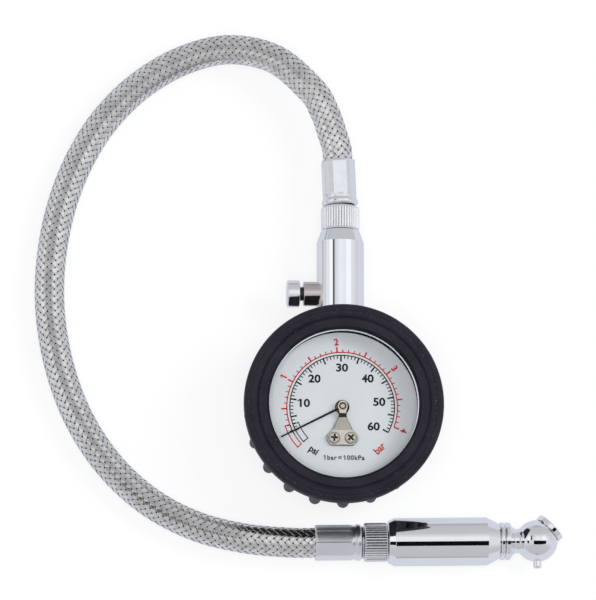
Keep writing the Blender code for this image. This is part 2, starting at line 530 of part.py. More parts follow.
def hose_and_ends():
    knurled_collar("upper_collar", STEM_TOP + GAP, STEM)
    hose_insert("upper_hose_insert", STEM_TOP - 0.1, LEAN_Y, STEM, 61)
    ferrule("upper_ferrule", FERRULE_START, HOSE_END, math.pi / 8)
    tail = ring_profile(TAIL_INNER, TAIL_OUTER, FERRULE_START + TAIL_SHORT,
                        FERRULE_START + FERRULE_LENGTH - TAIL_SHORT)
    turned("upper_hose_tail", tail, RUBBER, HOSE_END, ROUND_SMALL)
    wire("braided_hose", smooth(HOSE_ROUTE, HOSE_POINTS_PER_SPAN), HOSE_RADIUS, BRAID, resolution=3)
    away = CHUCK @ Matrix.Rotation(math.pi, 4, "X")
    knurled_collar("lower_collar", -COLLAR_LOW_START - COLLAR_LENGTH, away)
    hose_insert("lower_hose_insert", -CHUCK_START - 0.1, -COLLAR_LOW_START + 0.3, away, -26)
    ferrule("lower_ferrule", LOW_FERRULE_START, away, 0)
    tail = ring_profile(TAIL_INNER, TAIL_OUTER, LOW_FERRULE_START + TAIL_SHORT,
                        LOW_FERRULE_START + FERRULE_LENGTH - TAIL_SHORT)
    turned("lower_hose_tail", tail, RUBBER, away, ROUND_SMALL)


def chuck():
    thread, chamber, bore = 4.75, 5.2, 4.45
    profile = [(bore, CHUCK_END), (6.6, CHUCK_END), (CHUCK_RADIUS, CHUCK_CONE),
               (CHUCK_RADIUS, CHUCK_START + 2.4), (7.9, CHUCK_START), (thread, CHUCK_START), (thread, 26.6),
               (chamber, 26.6), (chamber, 47.5), (bore, 47.5)]
    turned("chuck_body", profile, CHROME, CHUCK, 30)
    turned("spring_retainer", ring_profile(1.7, 4.9, 28.5, 30.5), BRASS, CHUCK, ROUND_SMALL)
    poppet = [(0, 44.0), (2.6, 44.0), (3.6, 43.2), (3.6, 41.8), (1.3, 41.8), (1.3, 33.2), (0, 33.2)]
    turned("check_valve_poppet", poppet, BRASS, CHUCK, ROUND_SMALL)
    turned("check_valve_seat", ring_profile(2.0, 4.9, 44.3, 46.8), RUBBER, CHUCK, ROUND_SMALL)
    coil = 0.3
    wire("check_valve_spring", helix(2.4, 30.8 + coil, 41.5 - coil, 5), coil, STEEL, CHUCK)
    retainer = [(bore, 62.5), (6.8, 62.5), (7.15, 62.1), (7.15, 61.3), (6.8, 60.9), (bore, 60.9)]
    turned("swivel_retainer", retainer, CHROME, CHUCK)
    turned("swivel_o_ring", arc((3.7, 53.8), (0.45, 0.45), 90, -210, 5), RUBBER, CHUCK, ROUND_SMALL)


def ball_head():
    shank, groove = 4.1, 2.9
    ball = arc((0, BALL_X), (BALL_RADIUS, BALL_RADIUS), 90, -50, 8)
    neck = [(4.65, 68.4), (4.5, 67.4), (4.8, 66.4), (5.6, 65.5), (6.75, 64.8)]
    rim = [(7.1, 64.4), (7.1, 63.2), (6.75, 62.8)]
    profile = [(0, BALL_X + BALL_RADIUS), *ball[1:], *neck, *rim, (shank, 62.8), (shank, 54.7),
               (groove, 54.7), (groove, 52.9), (shank, 52.9), (shank, 49), (0, 49)]
    head = turned("ball_head", profile, CHROME, CHUCK)
    drill(head, "ball_flat", BALL_RADIUS + 1, BALL_FLAT, 12, MOUTH)
    drill(head, "ball_pocket", 5.2, 1.6, 12, MOUTH)
    drill(head, "ball_bore", 1.4, 48, BALL_X + 0.8, CHUCK, 12)
    drill(head, "ball_pin_hole", 1.05, -1.9, 2.2, MOUTH, 10)
    drill(head, "ball_nib_hole", NIB_RADIUS + GAP, 4.6, 12, NIB, ROUND_SMALL)
    sleeve, lead = 4.9, 1.0
    cap = [(MOUTH_RADIUS + lead, MOUTH_FACE), (CAP_RADIUS - 0.2, MOUTH_FACE), (CAP_RADIUS, MOUTH_FACE - 0.3),
           (CAP_RADIUS, 6.2), (CAP_RADIUS - 0.4, BALL_FLAT + GAP), (sleeve, BALL_FLAT + GAP), (sleeve, 3.4),
           (MOUTH_RADIUS, 3.4), (MOUTH_RADIUS, MOUTH_FACE - lead)]
    turned("mouth_cap", cap, CHROME, MOUTH)
    turned("mouth_seal", ring_profile(1.5, 4.8, 1.9, 3.1), RUBBER, MOUTH, ROUND_SMALL)
    turned("depressor_pin", rod_profile(0.7, -1.2, 3.3, 0.2), BRASS, MOUTH, 12)
    turned("deflator_nib", rod_profile(NIB_RADIUS, 4.9, NIB_END, 0.4), CHROME, NIB, ROUND_SMALL)


def carry():
    """Pieces that move together hang on the one that turns or slides."""
    bpy.context.view_layer.update()
    for carrier, riders in CARRIED.items():
        parent = PARTS.objects[carrier]
        for rider in riders:
            child = PARTS.objects[rider]
            child.parent = parent
            child.matrix_parent_inverse = parent.matrix_world.inverted()


clear_scene()
rubber_boot()
case_and_glass()
dial_and_bridge()
pointer_set()
sector_set()
spring_tube()
movement_frame()
stem_and_bleed()
hose_and_ends()
chuck()
ball_head()
carry()
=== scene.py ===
"""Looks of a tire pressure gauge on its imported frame. Sizes are in millimetres, and meshes are in metres."""

import math

import bmesh
import bpy
import numpy as np
from mathutils import Matrix, Vector

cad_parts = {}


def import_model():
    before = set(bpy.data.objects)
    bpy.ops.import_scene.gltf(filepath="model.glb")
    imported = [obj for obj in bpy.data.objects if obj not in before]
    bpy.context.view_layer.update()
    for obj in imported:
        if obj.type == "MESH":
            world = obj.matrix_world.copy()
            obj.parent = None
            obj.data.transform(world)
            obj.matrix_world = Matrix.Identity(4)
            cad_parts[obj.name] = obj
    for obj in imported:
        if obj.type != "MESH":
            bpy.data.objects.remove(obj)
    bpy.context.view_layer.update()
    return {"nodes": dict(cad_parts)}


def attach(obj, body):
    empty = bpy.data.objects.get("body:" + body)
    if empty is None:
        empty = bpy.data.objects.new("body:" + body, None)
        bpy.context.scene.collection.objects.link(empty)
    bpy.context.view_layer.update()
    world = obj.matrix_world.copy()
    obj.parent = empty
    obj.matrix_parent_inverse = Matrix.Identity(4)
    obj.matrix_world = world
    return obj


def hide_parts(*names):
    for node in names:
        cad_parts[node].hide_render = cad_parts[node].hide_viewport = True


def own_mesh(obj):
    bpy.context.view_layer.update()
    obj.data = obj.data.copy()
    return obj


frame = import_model()
MM = 0.001

# Steps around turned pieces, from the widest to the smallest
FINE, ROUND, SMALL = 160, 96, 48

# Points that the hose passes through, in metres, from the gauge's ferrule to the chuck's
HOSE_ROUTE = [
    (-0.0009, 0.0972, 0.0165), (-0.0013, 0.1015, 0.0165), (-0.003, 0.1075, 0.0165), (-0.006, 0.1162, 0.0163),
    (-0.011, 0.1247, 0.016), (-0.025, 0.137, 0.0145), (-0.043, 0.141, 0.0125), (-0.061, 0.1366, 0.0103),
    (-0.077, 0.127, 0.0082), (-0.09, 0.1138, 0.0068), (-0.0995, 0.0982, 0.0061), (-0.106, 0.081, 0.006),
    (-0.1097, 0.0623, 0.006), (-0.1105, 0.0435, 0.006), (-0.1082, 0.025, 0.006), (-0.103, 0.007, 0.006),
    (-0.095, -0.0092, 0.006), (-0.084, -0.0235, 0.006), (-0.07, -0.0352, 0.0062), (-0.0535, -0.0435, 0.0072),
    (-0.036, -0.0479, 0.0086), (-0.02, -0.0494, 0.00915), (-0.0098, -0.0495, 0.00915),
]


def frame_along(axis, origin):
    """A placement whose local Z runs along axis from origin, with local Y up."""
    turn = Vector(axis).to_track_quat("Z", "Y").to_matrix().to_4x4()
    return Matrix.Translation(Vector(origin)) @ turn


def at(x, y):
    return Matrix.Translation((x, y, 0))


def spin(degrees):
    return Matrix.Rotation(math.radians(degrees), 4, "Z")


def polar(radius, degrees):
    return radius * math.cos(math.radians(degrees)), radius * math.sin(math.radians(degrees))


# The same placements as the solids
DIAL = Matrix()
STEM = frame_along((0, 1, 0), (0, 0, 16.5))
HOSE_LEAN = math.radians(2.7)
HOSE_AXIS = Vector((-math.sin(HOSE_LEAN), math.cos(HOSE_LEAN), 0))
HOSE_END = frame_along(HOSE_AXIS, (0, 78.4, 16.5))
BLEED = frame_along((-1, 0, 0), (0, 44.8, 16.5))
CHUCK_TURN = math.radians(0.9)
CHUCK_AXIS = Vector((math.cos(CHUCK_TURN), math.sin(CHUCK_TURN), 0))
CHUCK_ORIGIN = Vector((0, -49.35, 9.15))
CHUCK = frame_along(CHUCK_AXIS, CHUCK_ORIGIN)
CHUCK_HOSE = CHUCK @ Matrix.Rotation(math.pi, 4, "X")
BALL_RADIUS, BALL_PLACE = 7.9, 75.0
BALL_CENTRE = CHUCK_ORIGIN + CHUCK_AXIS * BALL_PLACE
MOUTH = frame_along(Matrix.Rotation(math.radians(43.5), 3, "Z") @ CHUCK_AXIS, BALL_CENTRE)
NIB = frame_along(Matrix.Rotation(-math.pi / 2, 3, "Z") @ CHUCK_AXIS, BALL_CENTRE)


def placed(points, place):
    matrix = np.array(place)
    return np.array(points, float) @ matrix[:3, :3].T + matrix[:3, 3]


# Rounded corners: the half angle that counts as straight, the most of a side that a corner takes, and the
# place of the extra edge that keeps the side next to it flat
NEARLY_STRAIGHT, LONGEST_CUT, EDGE_LOOP = 1.55, 0.4, 1.25


def soft(profile, radius=0.1, steps=4):
    """The profile with its corners rounded. A third number on a point is that corner's own radius."""
    corners = [Vector(point[:2]) for point in profile]
    closed = corners[0].x > 0
    last = len(corners) - 1
    made = []
    for i, corner in enumerate(corners):
        reach = profile[i][2] if len(profile[i]) > 2 else radius
        before, after = corners[i - 1] - corner, corners[(i + 1) % len(corners)] - corner
        half = before.angle(after) / 2
        if reach == 0 or half > NEARLY_STRAIGHT or (not closed and i in (0, last)):
            made.append(tuple(corner))
            continue
        back = min(reach / math.tan(half), LONGEST_CUT * before.length, LONGEST_CUT * after.length)
        start, end = before.normalized() * back, after.normalized() * back
        made.append(tuple(corner + start * EDGE_LOOP))
        for step in range(steps + 1):
            t = step / steps
            made.append(tuple(corner + start * (1 - t) ** 2 + end * t ** 2))
        made.append(tuple(corner + end * EDGE_LOOP))
    return made


def turned(profile, place=DIAL, steps=ROUND, shape=None):
    """Points and faces of a (radius, height) profile turned about the local Z.

    shape gives the radius at each angle, where a ring isn't round.
    """
    angles = np.arange(steps) * 2 * math.pi / steps
    points, rows, faces = [], [], []
    for radius, height in profile:
        if radius <= 0:
            rows.append([len(points)] * steps)
            points.append((0, 0, height))
            continue
        reach = np.full(steps, radius) if shape is None else shape(radius, height, angles)
        rows.append(list(range(len(points), len(points) + steps)))
        points += list(zip(reach * np.cos(angles), reach * np.sin(angles), np.full(steps, height)))
    if profile[0][0] > 0:
        rows.append(rows[0])
    for low, high in zip(rows, rows[1:]):
        for i in range(steps):
            k = (i + 1) % steps
            corners = list(dict.fromkeys((low[i], low[k], high[k], high[i])))
            if len(corners) > 2:
                faces.append(corners)
    return placed(points, place), faces


def prism(outline, bottom, top, place=DIAL):
    """A flat piece with straight sides."""
    count = len(outline)
    points = [(x, y, bottom) for x, y in outline] + [(x, y, top) for x, y in outline]
    faces = [list(range(count - 1, -1, -1)), list(range(count, 2 * count))]
    for i in range(count):
        k = (i + 1) % count
        faces.append([i, k, count + k, count + i])
    return placed(points, place), faces


def joined(parts):
    """Several parts as one."""
    points, faces, start = [], [], 0
    for spots, sides in parts:
        points.append(spots)
        faces += [[start + i for i in side] for side in sides]
        start += len(spots)
    return np.concatenate(points), faces


def mesh_of(name, part, scale=MM):
    points, faces = part
    mesh = bpy.data.meshes.new(name)
    mesh.from_pydata((points * scale).tolist(), [], faces)
    shape = bmesh.new()
    shape.from_mesh(mesh)
    bmesh.ops.recalc_face_normals(shape, faces=shape.faces)
    shape.to_mesh(mesh)
    shape.free()
    return mesh


def show(name, mesh):
    obj = bpy.data.objects.new(name, mesh)
    bpy.context.scene.collection.objects.link(obj)
    return obj


def drawn(obj):
    """Points and faces of an object with its modifiers or as printed text."""
    bpy.context.view_layer.update()
    mesh = bpy.data.meshes.new_from_object(obj.evaluated_get(bpy.context.evaluated_depsgraph_get()))
    points = np.array([vertex.co for vertex in mesh.vertices])
    faces = [list(side.vertices) for side in mesh.polygons]
    bpy.data.meshes.remove(mesh)
    return points, faces


def without(part, cutter):
    """The first part with the second one taken out of it."""
    whole = show("whole", mesh_of("whole", part, 1.0))
    tool = show("tool", mesh_of("tool", cutter, 1.0))
    modifier = whole.modifiers.new("Cut", "BOOLEAN")
    modifier.operation = "DIFFERENCE"
    modifier.solver = "EXACT"
    modifier.object = tool
    part = drawn(whole)
    for obj in (whole, tool):
        bpy.data.meshes.remove(obj.data)
    return part


def make(name, part, material, nodes, body="gauge", sharp=40):
    """A smooth piece that rides on a body in place of its CAD nodes."""
    mesh = mesh_of(name, part)
    mesh.shade_smooth()
    mesh.set_sharp_from_angle(angle=math.radians(sharp))
    mesh.materials.append(material)
    return settle(show(name, mesh), body, nodes)


def settle(obj, body, nodes):
    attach(obj, body)
    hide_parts(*nodes)
    return obj


def by_side(obj, material, inside):
    """One more material, on the faces that inside picks by their centre in millimetres and their normal."""
    obj.data.materials.append(material)
    index = len(obj.data.materials) - 1
    for side in obj.data.polygons:
        if inside(side.center / MM, side.normal):
            side.material_index = index


# Materials

# Sockets of a Mix node for colours
MIX_A, MIX_B, MIX_OUT = 6, 7, 2


def blank(name, metallic, shine=0.5):
    """A new material with its node tree and shader."""
    material = bpy.data.materials.new(name)
    material.use_nodes = True
    shader = material.node_tree.nodes["Principled BSDF"]
    shader.inputs["Metallic"].default_value = metallic
    shader.inputs["Specular IOR Level"].default_value = shine
    return material, material.node_tree, shader


def feed(tree, made, inputs):
    """Sets a node's inputs to numbers, to colours or to the outputs of other nodes."""
    for name, value in inputs.items():
        if isinstance(value, bpy.types.NodeSocket):
            tree.links.new(value, made.inputs[name])
        else:
            made.inputs[name].default_value = (*value, 1) if isinstance(value, tuple) else value
    return made


def wired(tree, kind, inputs):
    """A new node of that kind with its inputs set."""
    return feed(tree, tree.nodes.new("ShaderNode" + kind), inputs)


def noise(tree, scale, detail=3.0):
    """A noise with that many features per metre."""
    spot = wired(tree, "TexCoord", {}).outputs["Object"]
    return wired(tree, "TexNoise", {"Scale": scale, "Detail": detail, "Vector": spot}).outputs["Fac"]


def ranged(tree, value, low, high, start=0.35, end=0.65):
    """A value from low to high while the given one goes from start to end."""
    inputs = {"Value": value, "From Min": start, "From Max": end, "To Min": low, "To Max": high}
    return wired(tree, "MapRange", inputs).outputs["Result"]


def blended(tree, kind, factor, first, second):
    """The result of a Mix node for colours."""
    made = tree.nodes.new("ShaderNodeMix")
    made.data_type = "RGBA"
    made.blend_type = kind
    return feed(tree, made, {0: factor, MIX_A: first, MIX_B: second}).outputs[MIX_OUT]


def tinted(tree, factor, low, high):
    """A colour between two others."""
    return blended(tree, "MIX", factor, low, high)


def times(tree, first, second):
    """Two colours multiplied."""
    return blended(tree, "MULTIPLY", 1.0, first, second)


def maths(tree, operation, *values):
    """The result of a Math node."""
    made = wired(tree, "Math", dict(enumerate(values)))
    made.operation = operation
    return made.outputs["Value"]


def mixed(tree, factor, first, second):
    """The first shader at 0 and the second one at 1."""
    return wired(tree, "MixShader", {"Fac": factor, 1: first, 2: second}).outputs["Shader"]


def raised(tree, shader, height, depth, strength=1.0):
    """Bump on the shader, depth in millimetres."""
    made = wired(tree, "Bump", {"Strength": strength, "Distance": depth * MM, "Height": height})
    tree.links.new(made.outputs["Normal"], shader.inputs["Normal"])


def finish(name, low, high, rough, metallic=0.0, grain=150.0, bump_scale=1500.0, bump_depth=0.002, shine=0.5):
    """A surface whose colour and roughness wander a little, with a fine grain."""
    material, tree, shader = blank(name, metallic, shine)
    factor = ranged(tree, noise(tree, grain), 0.0, 1.0)
    tree.links.new(tinted(tree, factor, low, high), shader.inputs["Base Color"])
    tree.links.new(ranged(tree, noise(tree, grain * 3), *rough), shader.inputs["Roughness"])
    raised(tree, shader, noise(tree, bump_scale), bump_depth)
    return material


def rubber(name):
    """Matte moulded rubber with small light specks."""
    material, tree, shader = blank(name, 0.0, 0.33)
    factor = ranged(tree, noise(tree, 90.0), 0.0, 1.0)
    base = tinted(tree, factor, (0.0062, 0.0055, 0.0108), (0.0115, 0.0103, 0.0172))
    specks = ranged(tree, noise(tree, 1900.0, 1.0), 0.0, 1.0, 0.735, 0.79)
    tree.links.new(tinted(tree, specks, base, (0.16, 0.16, 0.17)), shader.inputs["Base Color"])
    tree.links.new(ranged(tree, noise(tree, 260.0), 0.42, 0.56), shader.inputs["Roughness"])
    raised(tree, shader, noise(tree, 2600.0), 0.02)
    return material


def clear(name):
    """A clear lens with a weak reflection, which lets the lamps through to the dial."""
    material, tree, shader = blank(name, 0.0, 0.12)
    shader.inputs["Transmission Weight"].default_value = 1.0
    shader.inputs["IOR"].default_value = 1.2
    tree.links.new(ranged(tree, noise(tree, 60.0), 0.0, 0.012), shader.inputs["Roughness"])
    path = tree.nodes.new("ShaderNodeLightPath")
    through = tree.nodes.new("ShaderNodeBsdfTransparent")
    passing = maths(tree, "MAXIMUM", path.outputs["Is Shadow Ray"], path.outputs["Is Diffuse Ray"])
    whole = mixed(tree, passing, shader.outputs["BSDF"], through.outputs["BSDF"])
    tree.links.new(whole, tree.nodes["Material Output"].inputs["Surface"])
    return material


def field(tree, name):
    """A value stored on the mesh."""
    made = tree.nodes.new("ShaderNodeAttribute")
    made.attribute_name = name
    return made.outputs["Fac"]


# How far the ripple of the single wires runs over half a strand, in radians
WIRE_RIPPLE = 16.0


def wires(name):
    """Flat strands of fine steel wires laid side by side, with painted shade where they dip under others and a
    painted highlight on their crests.
    """
    material, tree, shader = blank(name, 1.0)
    ripple = maths(tree, "COSINE", maths(tree, "MULTIPLY", field(tree, "across"), WIRE_RIPPLE))
    worn = ranged(tree, noise(tree, 300.0, 2.0), 0.0, 1.0)
    metal = tinted(tree, worn, (0.68, 0.666, 0.64), (0.86, 0.843, 0.81))
    height = ranged(tree, field(tree, "lift"), 0.0, 1.0, -1.0, 1.0)
    # Painted shade where a strand dips under another and a painted highlight on its crest
    dip_shade_crest_highlight = tinted(tree, height, (0.85, 0.85, 0.85), (1.1, 1.1, 1.1))
    tree.links.new(times(tree, metal, dip_shade_crest_highlight), shader.inputs["Base Color"])
    tree.links.new(ranged(tree, noise(tree, 900.0), 0.06, 0.12), shader.inputs["Roughness"])
    raised(tree, shader, ripple, 0.02, 0.35)
    return material


CHROME = finish("chrome", (0.93, 0.935, 0.945), (0.955, 0.96, 0.965), (0.03, 0.06), 1.0, 90.0, 700.0, 0.0004)
SATIN = finish("satin_chrome", (0.91, 0.915, 0.925), (0.955, 0.96, 0.965),
               (0.12, 0.2), 1.0, 400.0, 900.0, 0.001)
# Painted shade in the grooves of the knurled collars, deep on the lower one and pale on the upper one
DEEP_GROOVE_SHADE = finish("groove_shade", (0.2, 0.2, 0.205), (0.28, 0.28, 0.285), (0.3, 0.4), 1.0, 400.0)
PALE_GROOVE_SHADE = finish("groove_pale_shade", (0.64, 0.64, 0.645), (0.7, 0.7, 0.705), (0.3, 0.4), 0.9, 400.0)
# A lighter copy of satin chrome, which paints light on the upper collar
SATIN_PAINTED_LIGHT = finish("satin_painted_light", (0.93, 0.935, 0.945), (0.965, 0.97, 0.975),
                    (0.14, 0.22), 0.8, 400.0, 900.0, 0.001)
BRUSHED = finish("brushed_chrome", (0.87, 0.88, 0.9), (0.93, 0.935, 0.95),
                 (0.29, 0.35), 0.985, 90.0, 700.0, 0.0004)
DULL_CHROME = finish("dull_chrome", (0.62, 0.55, 0.54), (0.7, 0.63, 0.61),
                     (0.1, 0.16), 1.0, 200.0, 900.0, 0.001)
STEEL = finish("steel", (0.55, 0.56, 0.58), (0.66, 0.67, 0.69), (0.22, 0.34), 1.0)
NICKEL = finish("nickel", (0.91, 0.86, 0.73), (0.95, 0.9, 0.77), (0.18, 0.24), 0.78, 200.0, 1500.0, 0.0005)
MATT_NICKEL = finish("matt_nickel", (0.77, 0.72, 0.6), (0.81, 0.76, 0.64),
                     (0.45, 0.55), 0.82, 500.0, 9000.0, 0.002)
# Near-black steel that stands for painted shade in recesses and gaps and on steep faces
PAINTED_SHADE_STEEL = finish("painted_shade_steel", (0.03, 0.028, 0.025), (0.06, 0.055, 0.05), (0.3, 0.5), 0.6, 900.0)
BRASS = finish("brass", (0.56, 0.38, 0.15), (0.72, 0.52, 0.22), (0.25, 0.38), 1.0, 300.0)
SEAL = finish("seal_rubber", (0.012, 0.012, 0.012), (0.022, 0.022, 0.022), (0.45, 0.6))
ENAMEL = finish("dial_enamel", (0.675, 0.712, 0.742), (0.705, 0.742, 0.772),
                (0.4, 0.5), 0.0, 60.0, 1200.0, 0.003, 0.2)
INK = {"metallic": 0.0, "grain": 700.0, "shine": 0.08}
BLACK_INK = finish("black_ink", (0.006, 0.005, 0.005), (0.012, 0.01, 0.01), (0.5, 0.6), **INK)
RED_INK = finish("red_ink", (0.5, 0.012, 0.012), (0.58, 0.022, 0.02), (0.5, 0.6), **INK)
BLACK_PAINT = finish("black_paint", (0.006, 0.006, 0.006), (0.012, 0.012, 0.012), (0.5, 0.6), shine=0.0)
BOOT_RUBBER = rubber("boot_rubber")
# A darker rubber that paints shade on the boot's inner lip edge
SHADED_RUBBER = finish("boot_edge_painted_shade", (0.012, 0.011, 0.015), (0.02, 0.018, 0.024), (0.5, 0.6), shine=0.02)
CLEAR = clear("clear_lens")
WIRES = wires("braid_wires")


# Camera, light and floor

def camera():
    """The view that was fitted to the photograph."""
    tilt, turn = math.radians(10.5), math.radians(3.4)
    back = Vector((-math.tan(turn), -math.tan(tilt), 1)).normalized()
    right = Vector((0, 1, 0)).cross(back).normalized()
    up = back.cross(right)
    data = bpy.data.cameras.new("camera")
    data.sensor_fit = "HORIZONTAL"
    data.sensor_width = 36.0
    data.lens = 236.734
    data.clip_start = 0.05
    data.clip_end = 50.0
    obj = show("camera", data)
    obj.matrix_world = Matrix((right, up, back)).transposed().to_4x4()
    obj.location = Vector((-103.0758, -228.7476, 1479.6264)) * MM
    bpy.context.scene.camera = obj


# How bright the studio looks in metal: by the angle sideways from straight up, and by the direction's Y
PANELS = ((-100, 0.66), (-80, 0.72), (-67, 0.86), (-62, 0.76), (-57, 1.0), (-43.5, 1.0), (-41, 0.7),
          (-38.5, 0.02), (-34, 0.02), (-31, 0.62), (-24, 0.74), (-10, 0.87), (0, 0.9), (17, 0.85), (22, 0.87),
          (28, 1.0), (47, 1.0), (52, 0.8), (70, 0.73), (88, 0.64), (100, 0.7))
SLOPES = ((-1.0, 0.4), (-0.98, 0.62), (-0.5, 0.64), (-0.3, 0.8), (0.0, 0.97), (0.1, 1.0), (0.22, 1.0),
          (0.33, 0.88), (0.48, 0.74), (0.58, 0.65), (0.95, 0.63), (1.0, 0.5))

# How far the panels go along the direction's Y, and the level where they end
PANEL_REACH = ((-1.0, 0.0), (-0.15, 0.0), (0.05, 1.0), (0.32, 1.0), (0.5, 0.0), (1.0, 0.0))
PANEL_END = (0.87, 0.87, 0.87)

# The studio's faint blue, and the table's colour in metal
HAZE = (0.955, 0.975, 1.03)
MIRRORED_FLOOR = (0.63, 0.655, 0.735)

# The point that the lamps are aimed at, in metres
LAMP_AIM = Vector((-0.015, 0.04, 0.02))

# The table's half size, how far it lies under the gauge, and how much of its white is its own
FLOOR_HALF, FLOOR_DROP, FLOOR_GLOW = 4000.0, 0.05, 0.8

# Dark gaps in the ceiling: their spans in X, their reach in Y and their height
CARD_SPANS = ((-175.0, -85.0), (14.0, 230.0))
CARD_NEAR, CARD_FAR, CARD_HEIGHT = -116.0, -60.0, 150.0


def ramp(tree, value, stops, low, high):
    """Grey levels between stops, for a value from low to high."""
    made = tree.nodes.new("ShaderNodeValToRGB")
    elements = made.color_ramp.elements
    while len(elements) < len(stops):
        elements.new(0.5)
    for element, (place, level) in zip(elements, stops):
        element.position = (place - stops[0][0]) / (stops[-1][0] - stops[0][0])
        element.color = (level, level, level, 1)
    tree.links.new(ranged(tree, value, 0.0, 1.0, low, high), made.inputs["Fac"])
    return made.outputs["Color"]


def world():
    """Even light, which metal sees as a pale studio with brighter panels."""
    made = bpy.data.worlds.new("studio")
    bpy.context.scene.world = made
    made.use_nodes = True
    tree = made.node_tree
    light = tree.nodes["Background"]
    light.inputs["Color"].default_value = (0.97, 0.98, 1.0, 1)
    light.inputs["Strength"].default_value = 0.5
    coords = tree.nodes.new("ShaderNodeTexCoord")
    apart = tree.nodes.new("ShaderNodeSeparateXYZ")
    tree.links.new(coords.outputs["Generated"], apart.inputs["Vector"])
    angle = maths(tree, "ARCTAN2", apart.outputs["X"], apart.outputs["Z"])
    panels = ramp(tree, angle, PANELS, math.radians(PANELS[0][0]), math.radians(PANELS[-1][0]))
    reach = ramp(tree, apart.outputs["Y"], PANEL_REACH, -1.0, 1.0)
    panels = tinted(tree, reach, PANEL_END, panels)
    slopes = ramp(tree, apart.outputs["Y"], SLOPES, -1.0, 1.0)
    studio = times(tree, times(tree, panels, slopes), HAZE)
    seen = wired(tree, "Background", {"Color": studio, "Strength": 1.0})
    white = wired(tree, "Background", {"Color": (1.0, 1.0, 1.0), "Strength": 1.0})
    path = tree.nodes.new("ShaderNodeLightPath")
    shiny = maths(tree, "MAXIMUM", path.outputs["Is Glossy Ray"], path.outputs["Is Transmission Ray"])
    metal = mixed(tree, shiny, light.outputs["Background"], seen.outputs["Background"])
    whole = mixed(tree, path.outputs["Is Camera Ray"], metal, white.outputs["Background"])
    tree.links.new(whole, tree.nodes["World Output"].inputs["Surface"])


def lamp(name, place, size, watts):
    """A soft square lamp that points at the gauge; metal and the lens see the studio instead of it."""
    data = bpy.data.lights.new(name, "AREA")
    data.size = size
    data.energy = watts
    obj = show(name, data)
    obj.location = place
    aim = LAMP_AIM - obj.location
    obj.rotation_euler = aim.to_track_quat("-Z", "Y").to_euler()
    obj.visible_glossy = False
    obj.visible_transmission = False


def floor():
    """A white table whose shadows are soft and light. Metal sees it in a pale grey-blue."""
    material, tree, shader = blank("table_white", 0.0, 0.1)
    factor = ranged(tree, noise(tree, 3.0), 0.0, 1.0)
    colour = tinted(tree, factor, (0.84, 0.85, 0.87), (0.86, 0.87, 0.89))
    path = tree.nodes.new("ShaderNodeLightPath")
    mirrored = tinted(tree, path.outputs["Is Glossy Ray"], colour, MIRRORED_FLOOR)
    tree.links.new(mirrored, shader.inputs["Base Color"])
    shader.inputs["Roughness"].default_value = 0.9
    seen = tinted(tree, path.outputs["Is Glossy Ray"], (1.0, 1.0, 1.0), MIRRORED_FLOOR)
    glow = wired(tree, "Emission", {"Color": seen, "Strength": 1.0})
    looks = maths(tree, "MAXIMUM", path.outputs["Is Camera Ray"], path.outputs["Is Glossy Ray"])
    looks = maths(tree, "MAXIMUM", looks, path.outputs["Is Transmission Ray"])
    share = maths(tree, "MULTIPLY", looks, FLOOR_GLOW)
    whole = mixed(tree, share, shader.outputs["BSDF"], glow.outputs["Emission"])
    tree.links.new(whole, tree.nodes["Material Output"].inputs["Surface"])
    corners = [(x * FLOOR_HALF, y * FLOOR_HALF, -FLOOR_DROP) for x, y in ((-1, -1), (1, -1), (1, 1), (-1, 1))]
    obj = show("table", mesh_of("table", (np.array(corners), [[0, 1, 2, 3]])))
    obj.data.materials.append(material)


def hung(name, part, material):
    """A part of the studio that only metal shows."""
    obj = show(name, mesh_of(name, part))
    obj.data.materials.append(material)
    obj.visible_camera = False
    obj.visible_diffuse = False
    obj.visible_transmission = False
    obj.visible_shadow = False


def dark_card():
    """Dark gaps in the studio's ceiling, above the chuck."""
    material, _, shader = blank("card_black", 0.0, 0.0)
    shader.inputs["Base Color"].default_value = (0.004, 0.004, 0.005, 1)
    strips = []
    for left, right in CARD_SPANS:
        corners = [(left, CARD_NEAR), (right, CARD_NEAR), (right, CARD_FAR), (left, CARD_FAR)]
        strips.append((np.array([(x, y, CARD_HEIGHT) for x, y in corners]), [[0, 1, 2, 3]]))
    hung("dark_card", joined(strips), material)


# Hose

# The step between points of the line, how finely the route is drawn first, and how far it goes into a ferrule
HOSE_STEP, SPAN_STEPS, END_REACH = 0.54, 40, 1.5

# The strands each way, and how far they run along the hose in one radian
STRANDS, LEAD = 12, 5.4

# A strand's distance from the middle, how far it swings in and out, half its width, half its thickness, how
# much of its width it loses at a crossing, and how steeply it crosses
STRAND_RADIUS, STRAND_SWING, STRAND_HALF, STRAND_THICK, PINCH, STEEPNESS = 5.53, 0.065, 0.8, 0.05, 0.12, 2.2
STRAND_SECTION = ((-1, 0.0), (-0.93, 0.8), (-0.75, 1.0), (0.75, 1.0), (0.93, 0.8), (1, 0.0), (0.8, -0.85),
                  (-0.8, -0.85))

# The black hose in the braid: its radius, the points around it, and its step along the line's points
CORE_RADIUS, CORE_AROUND, CORE_EVERY = 5.25, 32, 4

# The grey strip over the hose: half its width, its height and its shift in Y, and the line's points it uses
FLAG_HALF, FLAG_HEIGHT, FLAG_SHIFT = 11.0, 30.0, 5.0
FLAG_POINTS = slice(60, -50, 6)


